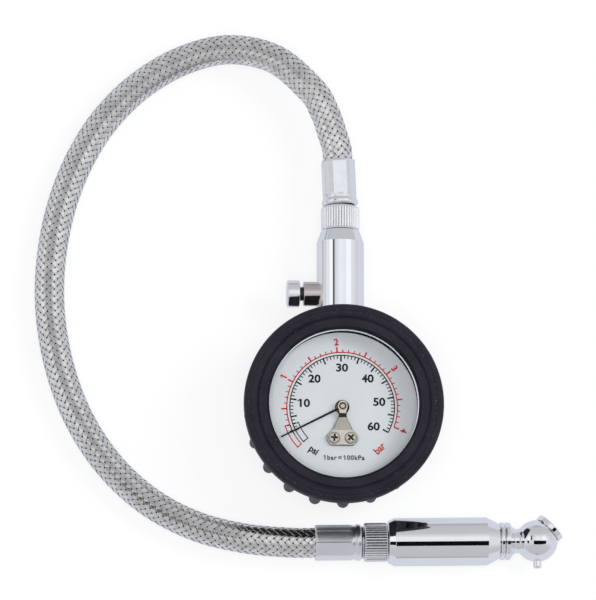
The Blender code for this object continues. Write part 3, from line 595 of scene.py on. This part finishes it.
def hose_line():
    """Even points along the hose, whose ends go a little way into the ferrules."""
    route = [np.array(point) / MM for point in HOSE_ROUTE]
    before, after = END_REACH * np.array(HOSE_AXIS), END_REACH * np.array(CHUCK_AXIS)
    route = [route[0] - before, *route, route[-1] + after]
    ends = [2 * route[0] - route[1], *route, 2 * route[-1] - route[-2]]
    made = []
    for a, b, c, d in zip(ends, ends[1:], ends[2:], ends[3:]):
        for t in np.arange(SPAN_STEPS) / SPAN_STEPS:
            made.append((2 * b + (c - a) * t + (2 * a - 5 * b + 4 * c - d) * t ** 2
                         + (3 * b - a - 3 * c + d) * t ** 3) / 2)
    made = np.array([*made, route[-1]])
    gone = np.concatenate([[0], np.cumsum(np.linalg.norm(np.diff(made, axis=0), axis=1))])
    marks = np.linspace(0, gone[-1], int(gone[-1] / HOSE_STEP) + 1)
    return np.stack([np.interp(marks, gone, made[:, i]) for i in range(3)], axis=1), marks


def unit(rows):
    return rows / np.linalg.norm(rows, axis=1, keepdims=True)


def hose_frames(line):
    """Two directions across the line at each point, without twist."""
    ahead = unit(np.gradient(line, axis=0))
    side = np.zeros_like(line)
    current = np.array((0.0, 0.0, 1.0))
    for i, way in enumerate(ahead):
        current = current - way * (current @ way)
        current = current / np.linalg.norm(current)
        side[i] = current
    return side, np.cross(ahead, side)


def hose_flag(line):
    """A narrow grey strip above the hose, which makes the middle of its wires darker than the sides."""
    material, tree, _ = blank("flag_grey", 0.0)
    glow = wired(tree, "Emission", {"Color": (0.43, 0.445, 0.48)})
    tree.links.new(glow.outputs["Emission"], tree.nodes["Material Output"].inputs["Surface"])
    middle = line[FLAG_POINTS]
    ahead = unit(np.gradient(middle, axis=0) * (1, 1, 0))
    out = np.cross(ahead, (0, 0, 1)) * FLAG_HALF
    above = middle + np.array((0, FLAG_SHIFT, FLAG_HEIGHT))
    points = np.stack([above - out, above + out], axis=1).reshape(-1, 3)
    faces = [[2 * i, 2 * i + 1, 2 * i + 3, 2 * i + 2] for i in range(len(middle) - 1)]
    hung("hose_flag", (points, faces), material)


def tube_faces(rings, around, start):
    """Quads between rings of points, and the two ends."""
    faces = []
    for i in range(rings - 1):
        low, high = start + i * around, start + (i + 1) * around
        faces += [[low + j, low + (j + 1) % around, high + (j + 1) % around, high + j] for j in range(around)]
    end = start + (rings - 1) * around
    faces.append(list(range(start + around - 1, start - 1, -1)))
    faces.append(list(range(end, end + around)))
    return faces


def hose():
    """Twelve flat strands each way, two over and two under, around a black inner hose.

    The strands leave small holes between them, in which the inner hose shows.
    """
    line, marks = hose_line()
    side, other = hose_frames(line)
    hose_flag(line)
    count = len(line)
    points, faces, across, lift = [], [], [], []
    start = 0
    for way in (1, -1):
        for i in range(STRANDS):
            turn = (2 * math.pi * i / STRANDS + way * marks / LEAD)[:, None]
            phase = 2 * i + way * STRANDS * marks / (LEAD * math.pi)
            wave = way * np.clip(STEEPNESS * np.cos(math.pi / 2 * (phase - 0.5)), -1, 1)
            outward = np.cos(turn) * side + np.sin(turn) * other
            middle = line + (STRAND_RADIUS + STRAND_SWING * wave)[:, None] * outward
            along = unit(np.gradient(middle, axis=0))
            flat = unit(np.cross(along, outward))
            up = np.cross(flat, along)
            half = (STRAND_HALF * (1 - PINCH * (1 - wave ** 2)))[:, None]
            rings = [middle + flat * (a * half) + up * (h * STRAND_THICK) for a, h in STRAND_SECTION]
            points.append(np.stack(rings, axis=1).reshape(-1, 3))
            faces += tube_faces(count, len(STRAND_SECTION), start)
            across += [a for a, _ in STRAND_SECTION] * count
            lift += np.repeat(wave, len(STRAND_SECTION)).tolist()
            start += count * len(STRAND_SECTION)
    strand_faces = len(faces)
    spots, one, two = line[::CORE_EVERY], side[::CORE_EVERY], other[::CORE_EVERY]
    angles = [2 * math.pi * j / CORE_AROUND for j in range(CORE_AROUND)]
    core = np.stack([spots + CORE_RADIUS * (math.cos(a) * one + math.sin(a) * two) for a in angles], axis=1)
    points.append(core.reshape(-1, 3))
    faces += tube_faces(len(core), CORE_AROUND, start)
    across += [0.0] * (len(core) * CORE_AROUND)
    lift += [0.0] * (len(core) * CORE_AROUND)
    mesh = bpy.data.meshes.new("hose_braid")
    mesh.from_pydata((np.concatenate(points) * MM).tolist(), [], faces)
    mesh.attributes.new("across", "FLOAT", "POINT").data.foreach_set("value", across)
    mesh.attributes.new("lift", "FLOAT", "POINT").data.foreach_set("value", lift)
    mesh.shade_smooth()
    mesh.materials.append(WIRES)
    mesh.materials.append(SEAL)
    slots = np.zeros(len(faces), np.int32)
    slots[strand_faces:] = 1
    mesh.polygons.foreach_set("material_index", slots)
    obj = settle(show("hose_braid", mesh), "gauge", ["braided_hose"])


# Boot, glass and dial

# The boot's ribs: the first and last of twenty places, their pitch and turn in degrees, their ring and radius
RIB_FIRST, RIB_LAST, RIB_PITCH, RIB_TURN = 2, 18, 18, 92
RIB_RING, RIB_RADIUS = 34, 2.3

# Where the boot's lip gets painted shade, a darker rubber on its shadowed inner edge: inside this radius and
# above this height
LIP_SHADE_INSIDE, LIP_SHADE_ABOVE = 29.0, 33.0

# The bezel shows bright metal inside this radius; outside it, under the boot's lip, it has painted shade in
# the dark seal rubber
BEZEL_BRIGHT = 28.71


def boot():
    lip = [(35.5 + 2 * math.cos(a), 35.8 + 2 * math.sin(a), 0) for a in np.linspace(math.pi / 2, 0, 9)]
    corner = [(26.5 + 7.5 * math.cos(a), 9 + 9 * math.sin(a), 0) for a in np.linspace(0, -math.pi / 2, 13)]
    profile = [(0, 2.5), (31.6, 2.5), (31.6, 29.2), (32.3, 29.2), (32.3, 33.6), (28.8, 33.6), (28.8, 35.1),
               (28.1, 35.5), (28.1, 35.9, 0.1), (29.05, 36.85, 0.15), (31.9, 37.0, 0.25), (32.2, 36.6, 0.15),
               (32.5, 36.6, 0.15), (32.75, 37.1, 0.3), (33.8, 37.55, 0.4), (34.85, 37.72, 0.1),
               (35.0, 37.58, 0.08), (35.15, 37.75, 0.1), *lip, (37.5, 32.6, 0.8), (36.4, 29.6, 0.6),
               (34.0, 27.6, 0.6), *corner, (0, 0)]
    parts = [turned(soft(profile, 0.25), steps=FINE)]
    rib = [(0, 28.6), (RIB_RADIUS, 28.6), (RIB_RADIUS, 9.4, 1.1), (0, 9.4)]
    for i in range(RIB_FIRST, RIB_LAST + 1):
        parts.append(turned(soft(rib, 0.25), at(*polar(RIB_RING, RIB_TURN + RIB_PITCH * i)), SMALL))
    obj = make("boot_shell", joined(parts), BOOT_RUBBER, ["rubber_boot"])
    # Painted shade on the lip's inner edge
    by_side(obj, SHADED_RUBBER, lambda centre, normal: centre.xy.length < LIP_SHADE_INSIDE and centre.z > LIP_SHADE_ABOVE)


def lens_and_spacer():
    """The lens, the bright rolled bezel over it, the dark ring under it, and the seal between them."""
    glass = [(0, 32.1), (30.1, 32.1), (30.1, 30.5), (0, 30.5)]
    make("lens_disc", turned(soft(glass, 0.25), steps=FINE), CLEAR, ["lens"])
    ring = [(28.44, 30.3), (29.4, 30.3), (29.4, 29.3), (30.1, 29.3), (30.1, 25.05), (28.44, 25.05)]
    make("spacer", turned(soft(ring), steps=FINE), BLACK_PAINT, ["spacer_ring"])
    bezel = [(32.0, 33.1), (28.7, 33.1, 0), (28.02, 33.0, 0.06), (27.95, 32.85, 0.04), (27.95, 32.15),
             (28.9, 32.15), (28.9, 32.4), (31.2, 32.4), (31.2, 29.6), (32.0, 29.6)]
    obj = make("bezel_edge", turned(soft(bezel), steps=FINE), SATIN, ["bezel_ring"])
    # Painted shade on the bezel under the boot's lip
    by_side(obj, SEAL, lambda centre, normal: centre.xy.length > BEZEL_BRIGHT)
    seal = [(29.7, 30.2), (30.0, 30.2), (30.0, 29.6), (29.7, 29.6)]
    make("lens_seal", turned(soft(seal), steps=FINE), SEAL, ["lens_gasket"])


def wedge(inner, outer, start, end, steps=2):
    """The outline of a piece of a ring, angles in degrees."""
    turns = np.linspace(start, end, steps)
    return [polar(inner, a) for a in turns] + [polar(outer, a) for a in reversed(turns)]


# Heights of the print on the dial
INK_BOTTOM, INK_TOP = 25.0, 25.03


def ink(outline):
    return prism(outline, INK_BOTTOM, INK_TOP)


def tick(degrees, inner, outer, width):
    """A straight mark across the scale."""
    outline = [(inner, -width / 2), (outer, -width / 2), (outer, width / 2), (inner, width / 2)]
    return prism(outline, INK_BOTTOM, INK_TOP, spin(degrees))


def frame_lines(inner, outer, start, end, width):
    """A box drawn along the scale with thin lines."""
    near = math.degrees(width / inner)
    return [ink(wedge(inner, inner + width, start, end, 12)),
            ink(wedge(outer - width, outer, start, end, 12)),
            ink(wedge(inner, outer, start, start + near)),
            ink(wedge(inner, outer, end - near, end))]


def letters(text, bold, spacing):
    """Points and faces of a line of print in font units, with its baseline at 0."""
    curve = bpy.data.curves.new("words", "FONT")
    curve.body = text
    curve.align_x = "CENTER"
    curve.offset = bold
    curve.space_character = spacing
    curve.resolution_u = 4
    curve.extrude = 0.5
    part = drawn(show("words", curve))
    bpy.data.curves.remove(curve)
    return part


# The stroke on the digit 1, in shares of its height: its reach, and how low its two edges end
STROKE_REACH, STROKE_DROP, STROKE_FOOT = 0.24, 0.2, 0.34

# How much of a thickened corner is cut back, in widths of the thickening
SPIKE = 1.9


def stroke(points, low, high):
    """A slanted stroke for a leading digit 1, which the font draws as a plain bar."""
    size, left = high - low, round(float(points[:, 0].min()), 3)
    end, upper, lower = left - STROKE_REACH * size, high - STROKE_DROP * size, high - STROKE_FOOT * size
    return prism([(left, high), (end, upper), (end, lower), (left, upper)], -0.5, 0.5)


def words(text, height, x, y, degrees, bold, squeeze=1.0, spacing=1.0):
    """Printed letters, centred on a point of the dial; height is that of a digit."""
    points, faces = letters(text, bold, spacing)
    digit = letters("1", bold, 1.0)[0][:, 1]
    if text.startswith("1"):
        points, faces = joined([(points, faces), stroke(points, digit.min(), digit.max())])
    if text.startswith("4"):
        # Thickening the outline draws the sharp corner of this digit out to a spike, which is cut back
        points[:, 0] = np.maximum(points[:, 0], points[:, 0].min() + SPIKE * bold)
    points[:, 1] -= (digit.max() + digit.min()) / 2
    points[:, 0] -= (points[:, 0].max() + points[:, 0].min()) / 2
    points[:, :2] *= height / (digit.max() - digit.min())
    points[:, 0] *= squeeze
    points[:, 2] = np.where(points[:, 2] > 0, INK_TOP, INK_BOTTOM)
    return placed(points, at(x, y) @ spin(degrees)), faces


def psi_angle(value):
    return 211.3 - 4 * value


def bar_angle(value):
    return 211.2 - 58.05 * value


# Where the numbers of the inner scale stand on the dial
NUMBERS = {10: (-14.5, 1.45), 20: (-10.45, 10.75), 30: (0.0, 15.05), 40: (9.7, 11.0), 50: (14.0, 2.1),
           60: (11.85, -7.25)}

# Where the pointer stands at rest, in degrees
POINTER_REST = 206.8


def dial():
    plate = [(2.7, 25.0), (30, 25.0), (30, 24.4), (2.7, 24.4)]
    make("dial_disc", turned(soft(plate), steps=FINE), ENAMEL, ["dial_plate"])
    black = [ink(wedge(19.56, 19.96, psi_angle(0), psi_angle(60), 90))]
    for value in range(1, 61):
        major = value % 5 == 0
        black.append(tick(psi_angle(value), 17.4 if major else 18.45, 19.8, 0.6 if major else 0.38))
    for value, (x, y) in NUMBERS.items():
        black.append(words(str(value), 3.1, x, y, 0, 0.033, 1.12))
    black += frame_lines(17.35, 19.9, 199.3, 223, 0.36)
    black.append(words("psi", 2.7, *polar(19.6, 237), -35, 0.034, 0.9))
    for part, x in (("1bar", -4.6), ("=", -0.9), ("100kPa", 4.35)):
        black.append(words(part, 1.8, x, -19.2, 0, 0.03, 1.0, 1.15))
    red = [ink(wedge(20.67, 21.1, bar_angle(0), bar_angle(4), 90))]
    for tenth in range(1, 41):
        major = tenth % 5 == 0
        red.append(tick(bar_angle(tenth / 10), 20.9, 22.95 if major else 22.0, 0.58 if major else 0.38))
    for value in range(1, 5):
        degrees = bar_angle(value)
        red.append(words(str(value), 2.6, *polar(24.85, degrees), degrees - 90, 0.036))
    red += frame_lines(20.67, 22.95, 198.4, 223, 0.4)
    red.append(words("bar", 2.9, *polar(20.9, -48), 45, 0.025, 0.85))
    make("dial_black_print", joined(black), BLACK_INK, [])
    make("dial_red_print", joined(red), RED_INK, [])


def pointer():
    hub = [polar(1.7, a) for a in np.linspace(14, 346, 40)]
    needle = [*hub, (25.8, -0.27), (25.8, 0.27)]
    part = prism(needle, 25.9, 26.2, spin(POINTER_REST))
    make("needle", part, BLACK_PAINT, ["pointer"], "pointer")
    bush = [(0.9, 25.6), (1.4, 25.6), (1.8, 25.2), (2.3, 24.8), (2.3, 24.6), (0.9, 24.6)]
    make("needle_bush", turned(soft(bush, 0.08), steps=SMALL), BRASS, ["pointer_bush"], "pointer")
    shaft = [(0, 27.2), (0.45, 27.2), (0.6, 27.0), (0.6, 8.2), (0, 8.2)]
    make("needle_shaft", turned(soft(shaft), steps=SMALL), STEEL, ["arbor"], "pointer")


# The bridge's sheet along the dial's Y: place, half width and height of its top
BRIDGE_ROWS = (
    (2.03, 0.29, 28.2), (1.95, 0.63, 28.2), (1.75, 1.07, 28.2), (1.4, 1.5, 28.2), (0.8, 1.89, 28.2),
    (0.0, 2.05, 28.2), (-0.8, 1.89, 28.2), (-1.4, 1.6, 28.2), (-1.9, 1.47, 28.2), (-2.5, 1.44, 28.2),
    (-2.75, 1.44, 28.18), (-2.95, 1.45, 28.08), (-3.05, 1.46, 27.95), (-4.0, 1.52, 27.12),
    (-4.2, 1.56, 27.01), (-4.4, 1.64, 26.95), (-4.7, 1.8, 26.9), (-6.5, 2.68, 26.62), (-8.6, 3.68, 26.31),
    (-8.85, 3.8, 26.28),
    (-9.0, 3.9, 26.25), (-9.3, 4.2, 26.25), (-9.8, 4.78, 26.25), (-10.4, 5.42, 26.25), (-10.8, 5.74, 26.25),
    (-11.2, 5.87, 26.25), (-11.6, 5.9, 26.25), (-12.2, 5.9, 26.25), (-12.7, 5.83, 26.25), (-13.1, 5.6, 26.25),
    (-13.7, 5.1, 26.25), (-14.2, 4.68, 26.25), (-14.5, 4.4, 26.2), (-14.66, 4.15, 26.1), (-14.72, 4.0, 25.9),
)
BRIDGE_THICK, BRIDGE_EDGE = 0.8, 0.2

# Where the bridge's two screws are, and half the width and length of the slots in their heads
SCREW_X, SCREW_Y = 3.1, -11.85
SLOT_HALF, SLOT_REACH = 0.4, 1.4


def sheet(rows, edge, thick):
    """A bent sheet with rounded edges, from rows across it."""
    points, faces = [], []
    width = 11
    for layer in (0, 1):
        for y, half, z in rows:
            inner = max(half - edge, 0.3 * half)
            spots = [-half, -half + 0.3 * (half - inner), -inner, -0.8 * inner, -0.4 * inner, 0.0]
            drops = [edge, 0.3 * edge, 0, 0, 0, 0]
            spots += [-spot for spot in reversed(spots[:-1])]
            drops += list(reversed(drops[:-1]))
            points += [(x, y, z - (thick if layer else drop)) for x, drop in zip(spots, drops)]
    size = len(rows) * width
    for i in range(len(rows) - 1):
        for j in range(width - 1):
            a, b = i * width + j, (i + 1) * width + j
            faces += [[a, a + 1, b + 1, b], [size + a, size + b, size + b + 1, size + a + 1]]
        for j in (0, width - 1):
            a, b = i * width + j, (i + 1) * width + j
            faces.append([a, b, size + b, size + a])
    for i in (0, len(rows) - 1):
        for j in range(width - 1):
            a = i * width + j
            faces.append([a, a + 1, size + a + 1, size + a])
    return np.array(points, float), faces


def bridge():
    """Bent sheet over the pointer's pivot: a boss with a cupped pivot, a step, a neck and a screwed foot."""
    hole = [(0, 29), (1.42, 29), (1.42, 26.5), (0, 26.5)]
    plate = without(sheet(BRIDGE_ROWS, BRIDGE_EDGE, BRIDGE_THICK), turned(hole, steps=SMALL))
    obj = make("bridge_sheet", plate, NICKEL, ["pointer_bridge"], sharp=25)
    by_side(obj, MATT_NICKEL, lambda centre, normal: -8.8 < centre.y < -4.3 and normal.z > 0.9)
    # Painted shade: every face of the sheet that doesn't face up, the step and the edges, is near-black
    by_side(obj, PAINTED_SHADE_STEEL, lambda centre, normal: normal.z < 0.95)
    cup = [(0, 28.3), (0.4, 28.25), (0.8, 28.05), (1.02, 27.8), (1.12, 27.6), (1.42, 27.6), (1.42, 27.4),
           (0, 27.4)]
    obj = make("bridge_pivot", turned(soft(cup, 0.06), steps=SMALL), NICKEL, [])
    # Painted shade in the ring groove around the pivot's dome
    by_side(obj, PAINTED_SHADE_STEEL, lambda centre, normal: centre.xy.length > 1.02)
    for label, sign in (("left", -1), ("right", 1)):
        place = at(SCREW_X * sign, SCREW_Y)
        head = [(0, 27.45), (1.45, 27.45, 0.1), (1.62, 27.55, 0.1), (1.9, 27.35, 0.2), (2.05, 26.95, 0.2),
                (2.05, 26.5), (1.0, 26.5), (1.0, 18), (0, 18)]
        turned_place = place @ spin(20 + 25 * sign)
        arm, reach = SLOT_HALF, SLOT_REACH
        cross = [(-reach, -arm), (-arm, -arm), (-arm, -reach), (arm, -reach), (arm, -arm), (reach, -arm),
                 (reach, arm), (arm, arm), (arm, reach), (-arm, reach), (-arm, arm), (-reach, arm)]
        part = without(turned(soft(head, 0.12), place, SMALL), prism(cross, 26.75, 28.5, turned_place))
        # A thin near-black ring round the foot of each head is painted shade, not a part of the screw
        shade_ring = turned([(1.9, 26.32), (2.26, 26.3), (2.26, 26.1), (1.9, 26.1)], place, SMALL)
        nodes = [f"bridge_screw_{label}"]
        screw = make(f"screw_{label}", joined([part, shade_ring]), NICKEL, nodes)
        middle = Vector((SCREW_X * sign, SCREW_Y))
        # Painted shade under the head and in the cross recess
        by_side(screw, PAINTED_SHADE_STEEL, lambda centre, normal: centre.z < 26.4
                or ((centre.xy - middle).length < 1.42 and centre.z < 27.43))


# Stem, hose ends and chuck

def stem_and_bleed():
    stem = [(4.75, 69.2), (7.3, 69.2, 0.2), (9.0, 64.55, 0.3), (9.0, 31.7, 0.3), (5.0, 31.7), (5.0, 23.6),
            (2.2, 23.6), (2.2, 34), (3.0, 34), (3.0, 60.4), (4.75, 60.4)]
    hole = [(0, 12), (3.9, 12), (3.9, -1.5), (0, -1.5)]
    part = without(turned(soft(stem), STEM, ROUND), turned(hole, BLEED, SMALL))
    make("stem_tube", part, CHROME, ["stem_body"])
    bush = [(2.95, 14.2, 0.2), (4.65, 14.2, 0.5), (4.65, 7.0), (3.6, 7.0), (3.6, 4.6), (1.5, 4.6), (1.5, 7.6),
            (2.95, 7.6)]
    make("bleed_bush", turned(soft(bush), BLEED), DULL_CHROME, ["bleed_valve_body"])
    knob = [(0, 20.45), (5.15, 20.45, 0.9), (5.15, 15.5, 0.8), (2.6, 15.5, 0.2), (2.6, 11.4), (1.1, 11.4),
            (1.1, 2.6), (0, 2.6)]
    part = turned(soft(knob), BLEED)
    obj = make("bleed_knob", part, CHROME, ["bleed_button"], "bleed_button")
    # Painted shade on the knob's neck, between the bush and the cap
    by_side(obj, PAINTED_SHADE_STEEL, lambda centre, normal: centre.x > -15.45)


# The collars' grip: its teeth, the steps for each tooth, the grooves' depth and how narrow they are
TEETH, TOOTH_STEPS, GROOVE_DEPTH, GROOVE_POWER = 42, 14, 0.5, 2.2

# The grooves start at the first radius and are deepest past the second one
GRIP_START, GRIP_FULL = 6.5, 7.2
COLLAR_LENGTH, FERRULE_LENGTH = 8.9, 17.6

# The radius of the ferrules, of their flats and of the corners between these, which have fine ridges
FERRULE_RADIUS, FLAT_RADIUS, CORNER_RADIUS = 6.55, 6.2, 6.66
RIDGE_HEIGHT, RIDGE_WIDTH, FERRULE_STEPS = 0.14, 0.04, 384

# Rings within this radius are the ferrule's bore, and its flats grow between these two heights
BORE, FADE_START, FADE_END = 6.05, 3.0, 4.2


def knurl(radius, height, angles):
    """Straight grip teeth with narrow grooves; only the rings near the full radius have them."""
    depth = GROOVE_DEPTH * min(max((radius - GRIP_START) / (GRIP_FULL - GRIP_START), 0.0), 1.0)
    wave = 0.5 - 0.5 * np.cos(TEETH * angles)
    return radius - depth * wave ** GROOVE_POWER


def collar(name, start, place, node, metal, groove):
    end = start + COLLAR_LENGTH
    half = [(4.05, 0.0), (6.6, 0.0), (6.9, 0.08), (7.15, 0.25), (7.3, 0.5), (7.35, 0.75), (7.35, 1.0)]
    profile = [(r, end - t) for r, t in half] + [(r, start + t) for r, t in reversed(half)]
    part = turned(profile, place, TEETH * TOOTH_STEPS, knurl)
    obj = make(name, part, metal, [node], sharp=60)
    back = place.inverted()
    # Painted shade in the grooves between the teeth
    by_side(obj, groove, lambda centre, normal: 5.0 < (back @ centre).xy.length < 7.1
            and start + 0.6 < (back @ centre).z < end - 0.6)


def crimped(start, corner_turn, share):
    """The radius of a ferrule with eight pressed flats, which fade out at its flange."""
    def shape(radius, height, angles):
        if radius < BORE:
            return np.full(len(angles), radius)
        pitch = math.pi / 4
        across = (angles - corner_turn) % pitch - pitch / 2
        flats = np.minimum(FLAT_RADIUS / np.cos(across), CORNER_RADIUS)
        ridge = RIDGE_HEIGHT * np.exp(-((pitch / 2 - np.abs(across)) / RIDGE_WIDTH) ** 2)
        pressed = radius + (flats + ridge - FERRULE_RADIUS) * share
        fade = min(max((height - start - FADE_START) / (FADE_END - FADE_START), 0.0), 1.0)
        return radius + (pressed - radius) * fade * fade * (3 - 2 * fade)
    return shape


def ferrule(name, start, place, corner_turn, share, node, metal):
    mouth = start + FERRULE_LENGTH
    flange = ((6.55, 4.6), (6.55, 4.2), (6.52, 3.8), (6.48, 3.4), (6.42, 3.0), (6.36, 2.75), (6.4, 2.55),
              (6.6, 2.3), (6.82, 1.9), (6.9, 1.45), (6.9, 1.0), (6.82, 0.55), (6.6, 0.2), (6.3, 0), (5.5, 0))
    profile = [(5.75, mouth), (5.95, mouth), (6.35, mouth - 0.12), (6.55, mouth - 0.4), (6.55, mouth - 1.2),
               *((radius, start + height) for radius, height in flange), (5.5, mouth - 2.5),
               (5.75, mouth - 1.5)]
    part = turned(profile, place, FERRULE_STEPS, crimped(start, corner_turn, share))
    make(name, part, metal, [node], sharp=50)


def hose_ends():
    # The upper collar gets the lighter satin and the paler groove shade: painted light
    collar("knurl_upper", 69.5, STEM, "upper_collar", SATIN_PAINTED_LIGHT, PALE_GROOVE_SHADE)
    ferrule("crimp_upper", 0.75, HOSE_END, math.pi / 8, 0.8, "upper_ferrule", SATIN)
    collar("knurl_lower", -18.1, CHUCK_HOSE, "lower_collar", SATIN, DEEP_GROOVE_SHADE)
    ferrule("crimp_lower", -8.2, CHUCK_HOSE, math.radians(-8), 0.7, "lower_ferrule", BRUSHED)


def chuck():
    barrel = [(4.45, 60.6), (6.6, 60.6, 0.25), (9.1, 55.8, 0.5), (9.1, 20.8, 0.4), (7.9, 18.4, 0.2),
              (4.75, 18.4), (4.75, 26.6), (5.2, 26.6), (5.2, 47.5), (4.45, 47.5)]
    make("chuck_barrel", turned(soft(barrel), CHUCK), CHROME, ["chuck_body"])
    ring = [(4.45, 62.5), (7.15, 62.5, 0.6), (7.15, 60.9, 0.6), (4.45, 60.9)]
    make("swivel_ring", turned(soft(ring), CHUCK), CHROME, ["swivel_retainer"])


def ball_head():
    turns = np.radians(np.linspace(90, -50, 40))
    ball = [(BALL_RADIUS * math.cos(a), BALL_PLACE + BALL_RADIUS * math.sin(a), 0) for a in turns[1:]]
    profile = [(0, BALL_PLACE + BALL_RADIUS), *ball, (4.75, 68.5, 0), (4.55, 67.9, 0), (4.5, 67.4, 0),
               (4.6, 66.8, 0), (4.95, 66.1, 0), (5.6, 65.45, 0), (6.75, 64.8, 0.2), (7.1, 64.4, 0.2),
               (7.1, 63.2, 0.3), (6.75, 62.8, 0.2), (4.1, 62.8), (4.1, 54.7), (2.9, 54.7), (2.9, 52.9),
               (4.1, 52.9), (4.1, 49), (0, 49)]
    pocket = [(0, 12), (9, 12), (9, 5.5), (5.2, 5.5), (5.2, 1.6), (0, 1.6)]
    part = without(turned(soft(profile), CHUCK, ROUND), turned(pocket, MOUTH, ROUND))
    make("ball", part, CHROME, ["ball_head"], "ball_head")
    cap = [(5.1, 8.0, 0.1), (5.96, 8.0, 0.35), (5.96, 5.8, 0.35), (4.9, 5.8), (4.9, 3.4), (4.1, 3.4),
           (4.1, 7.0, 0.2)]
    make("mouth_ring", turned(soft(cap), MOUTH), CHROME, ["mouth_cap"], "ball_head")
    washer = [(1.5, 3.1), (4.8, 3.1), (4.8, 1.9), (1.5, 1.9)]
    make("mouth_washer", turned(soft(washer, 0.3), MOUTH), SEAL, ["mouth_seal"], "ball_head")
    pin = [(0, 3.3), (0.7, 3.3, 0.3), (0.7, -1.2), (0, -1.2)]
    make("press_pin", turned(soft(pin), MOUTH, SMALL), BRASS, ["depressor_pin"], "ball_head")
    peg = [(0, 10.4), (1.5, 10.4, 0.5), (1.5, 4.9), (0, 4.9)]
    make("nib", turned(soft(peg), NIB, SMALL), CHROME, ["deflator_nib"], "ball_head")


def coil(name, radius, wire, low, high, turns, place, node):
    """A compression spring; low is its fixed end."""
    per_turn, around = 32, 12
    angles = np.linspace(0, 2 * math.pi * turns, turns * per_turn + 1)
    outward = np.stack([np.cos(angles), np.sin(angles), 0 * angles], axis=1)
    middle = radius * outward
    middle[:, 2] = np.linspace(low + wire, high - wire, len(angles))
    up = np.cross(unit(np.gradient(middle, axis=0)), outward)
    section = [2 * math.pi * j / around for j in range(around)]
    rings = [middle + wire * (math.cos(a) * outward + math.sin(a) * up) for a in section]
    points = np.stack(rings, axis=1).reshape(-1, 3)
    part = placed(points, place), tube_faces(len(middle), around, 0)
    obj = make(name, part, STEEL, [node])
    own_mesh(obj)


def springs():
    coil("bleed_coil", 2.0, 0.28, 7.9, 11.1, 3, BLEED, "bleed_spring")
    coil("check_coil", 2.4, 0.3, 30.8, 41.5, 5, CHUCK, "check_valve_spring")


INNER_FINISHES = (
    (BRASS, ("bridge_post_left", "bridge_post_right", "movement_plate", "sector_gear", "pinion",
             "socket_block", "bourdon_tube", "tube_tip", "bleed_valve_disc", "spring_retainer",
             "check_valve_poppet")),
    (STEEL, ("gauge_case", "sector_stud", "link", "link_pin", "tip_pin", "hairspring", "upper_hose_insert",
             "lower_hose_insert")),
    (SEAL, ("upper_hose_tail", "lower_hose_tail", "bleed_seal", "check_valve_seat", "swivel_o_ring")),
)


def inner_pieces():
    """The solids inside keep their shape and get the same finishes."""
    for material, nodes in INNER_FINISHES:
        for node in nodes:
            data = frame["nodes"][node].data
            data.materials.clear()
            data.materials.append(material)


bpy.context.scene.view_settings.view_transform = "Standard"
camera()
world()
lamp("key", (0.75, 0.25, 1.0), 0.5, 6.0)
lamp("fill", (-0.1, -0.2, 1.3), 0.5, 9.0)
floor()
dark_card()
hose()
boot()
lens_and_spacer()
dial()
pointer()
bridge()
stem_and_bleed()
hose_ends()
chuck()
ball_head()
springs()
inner_pieces()
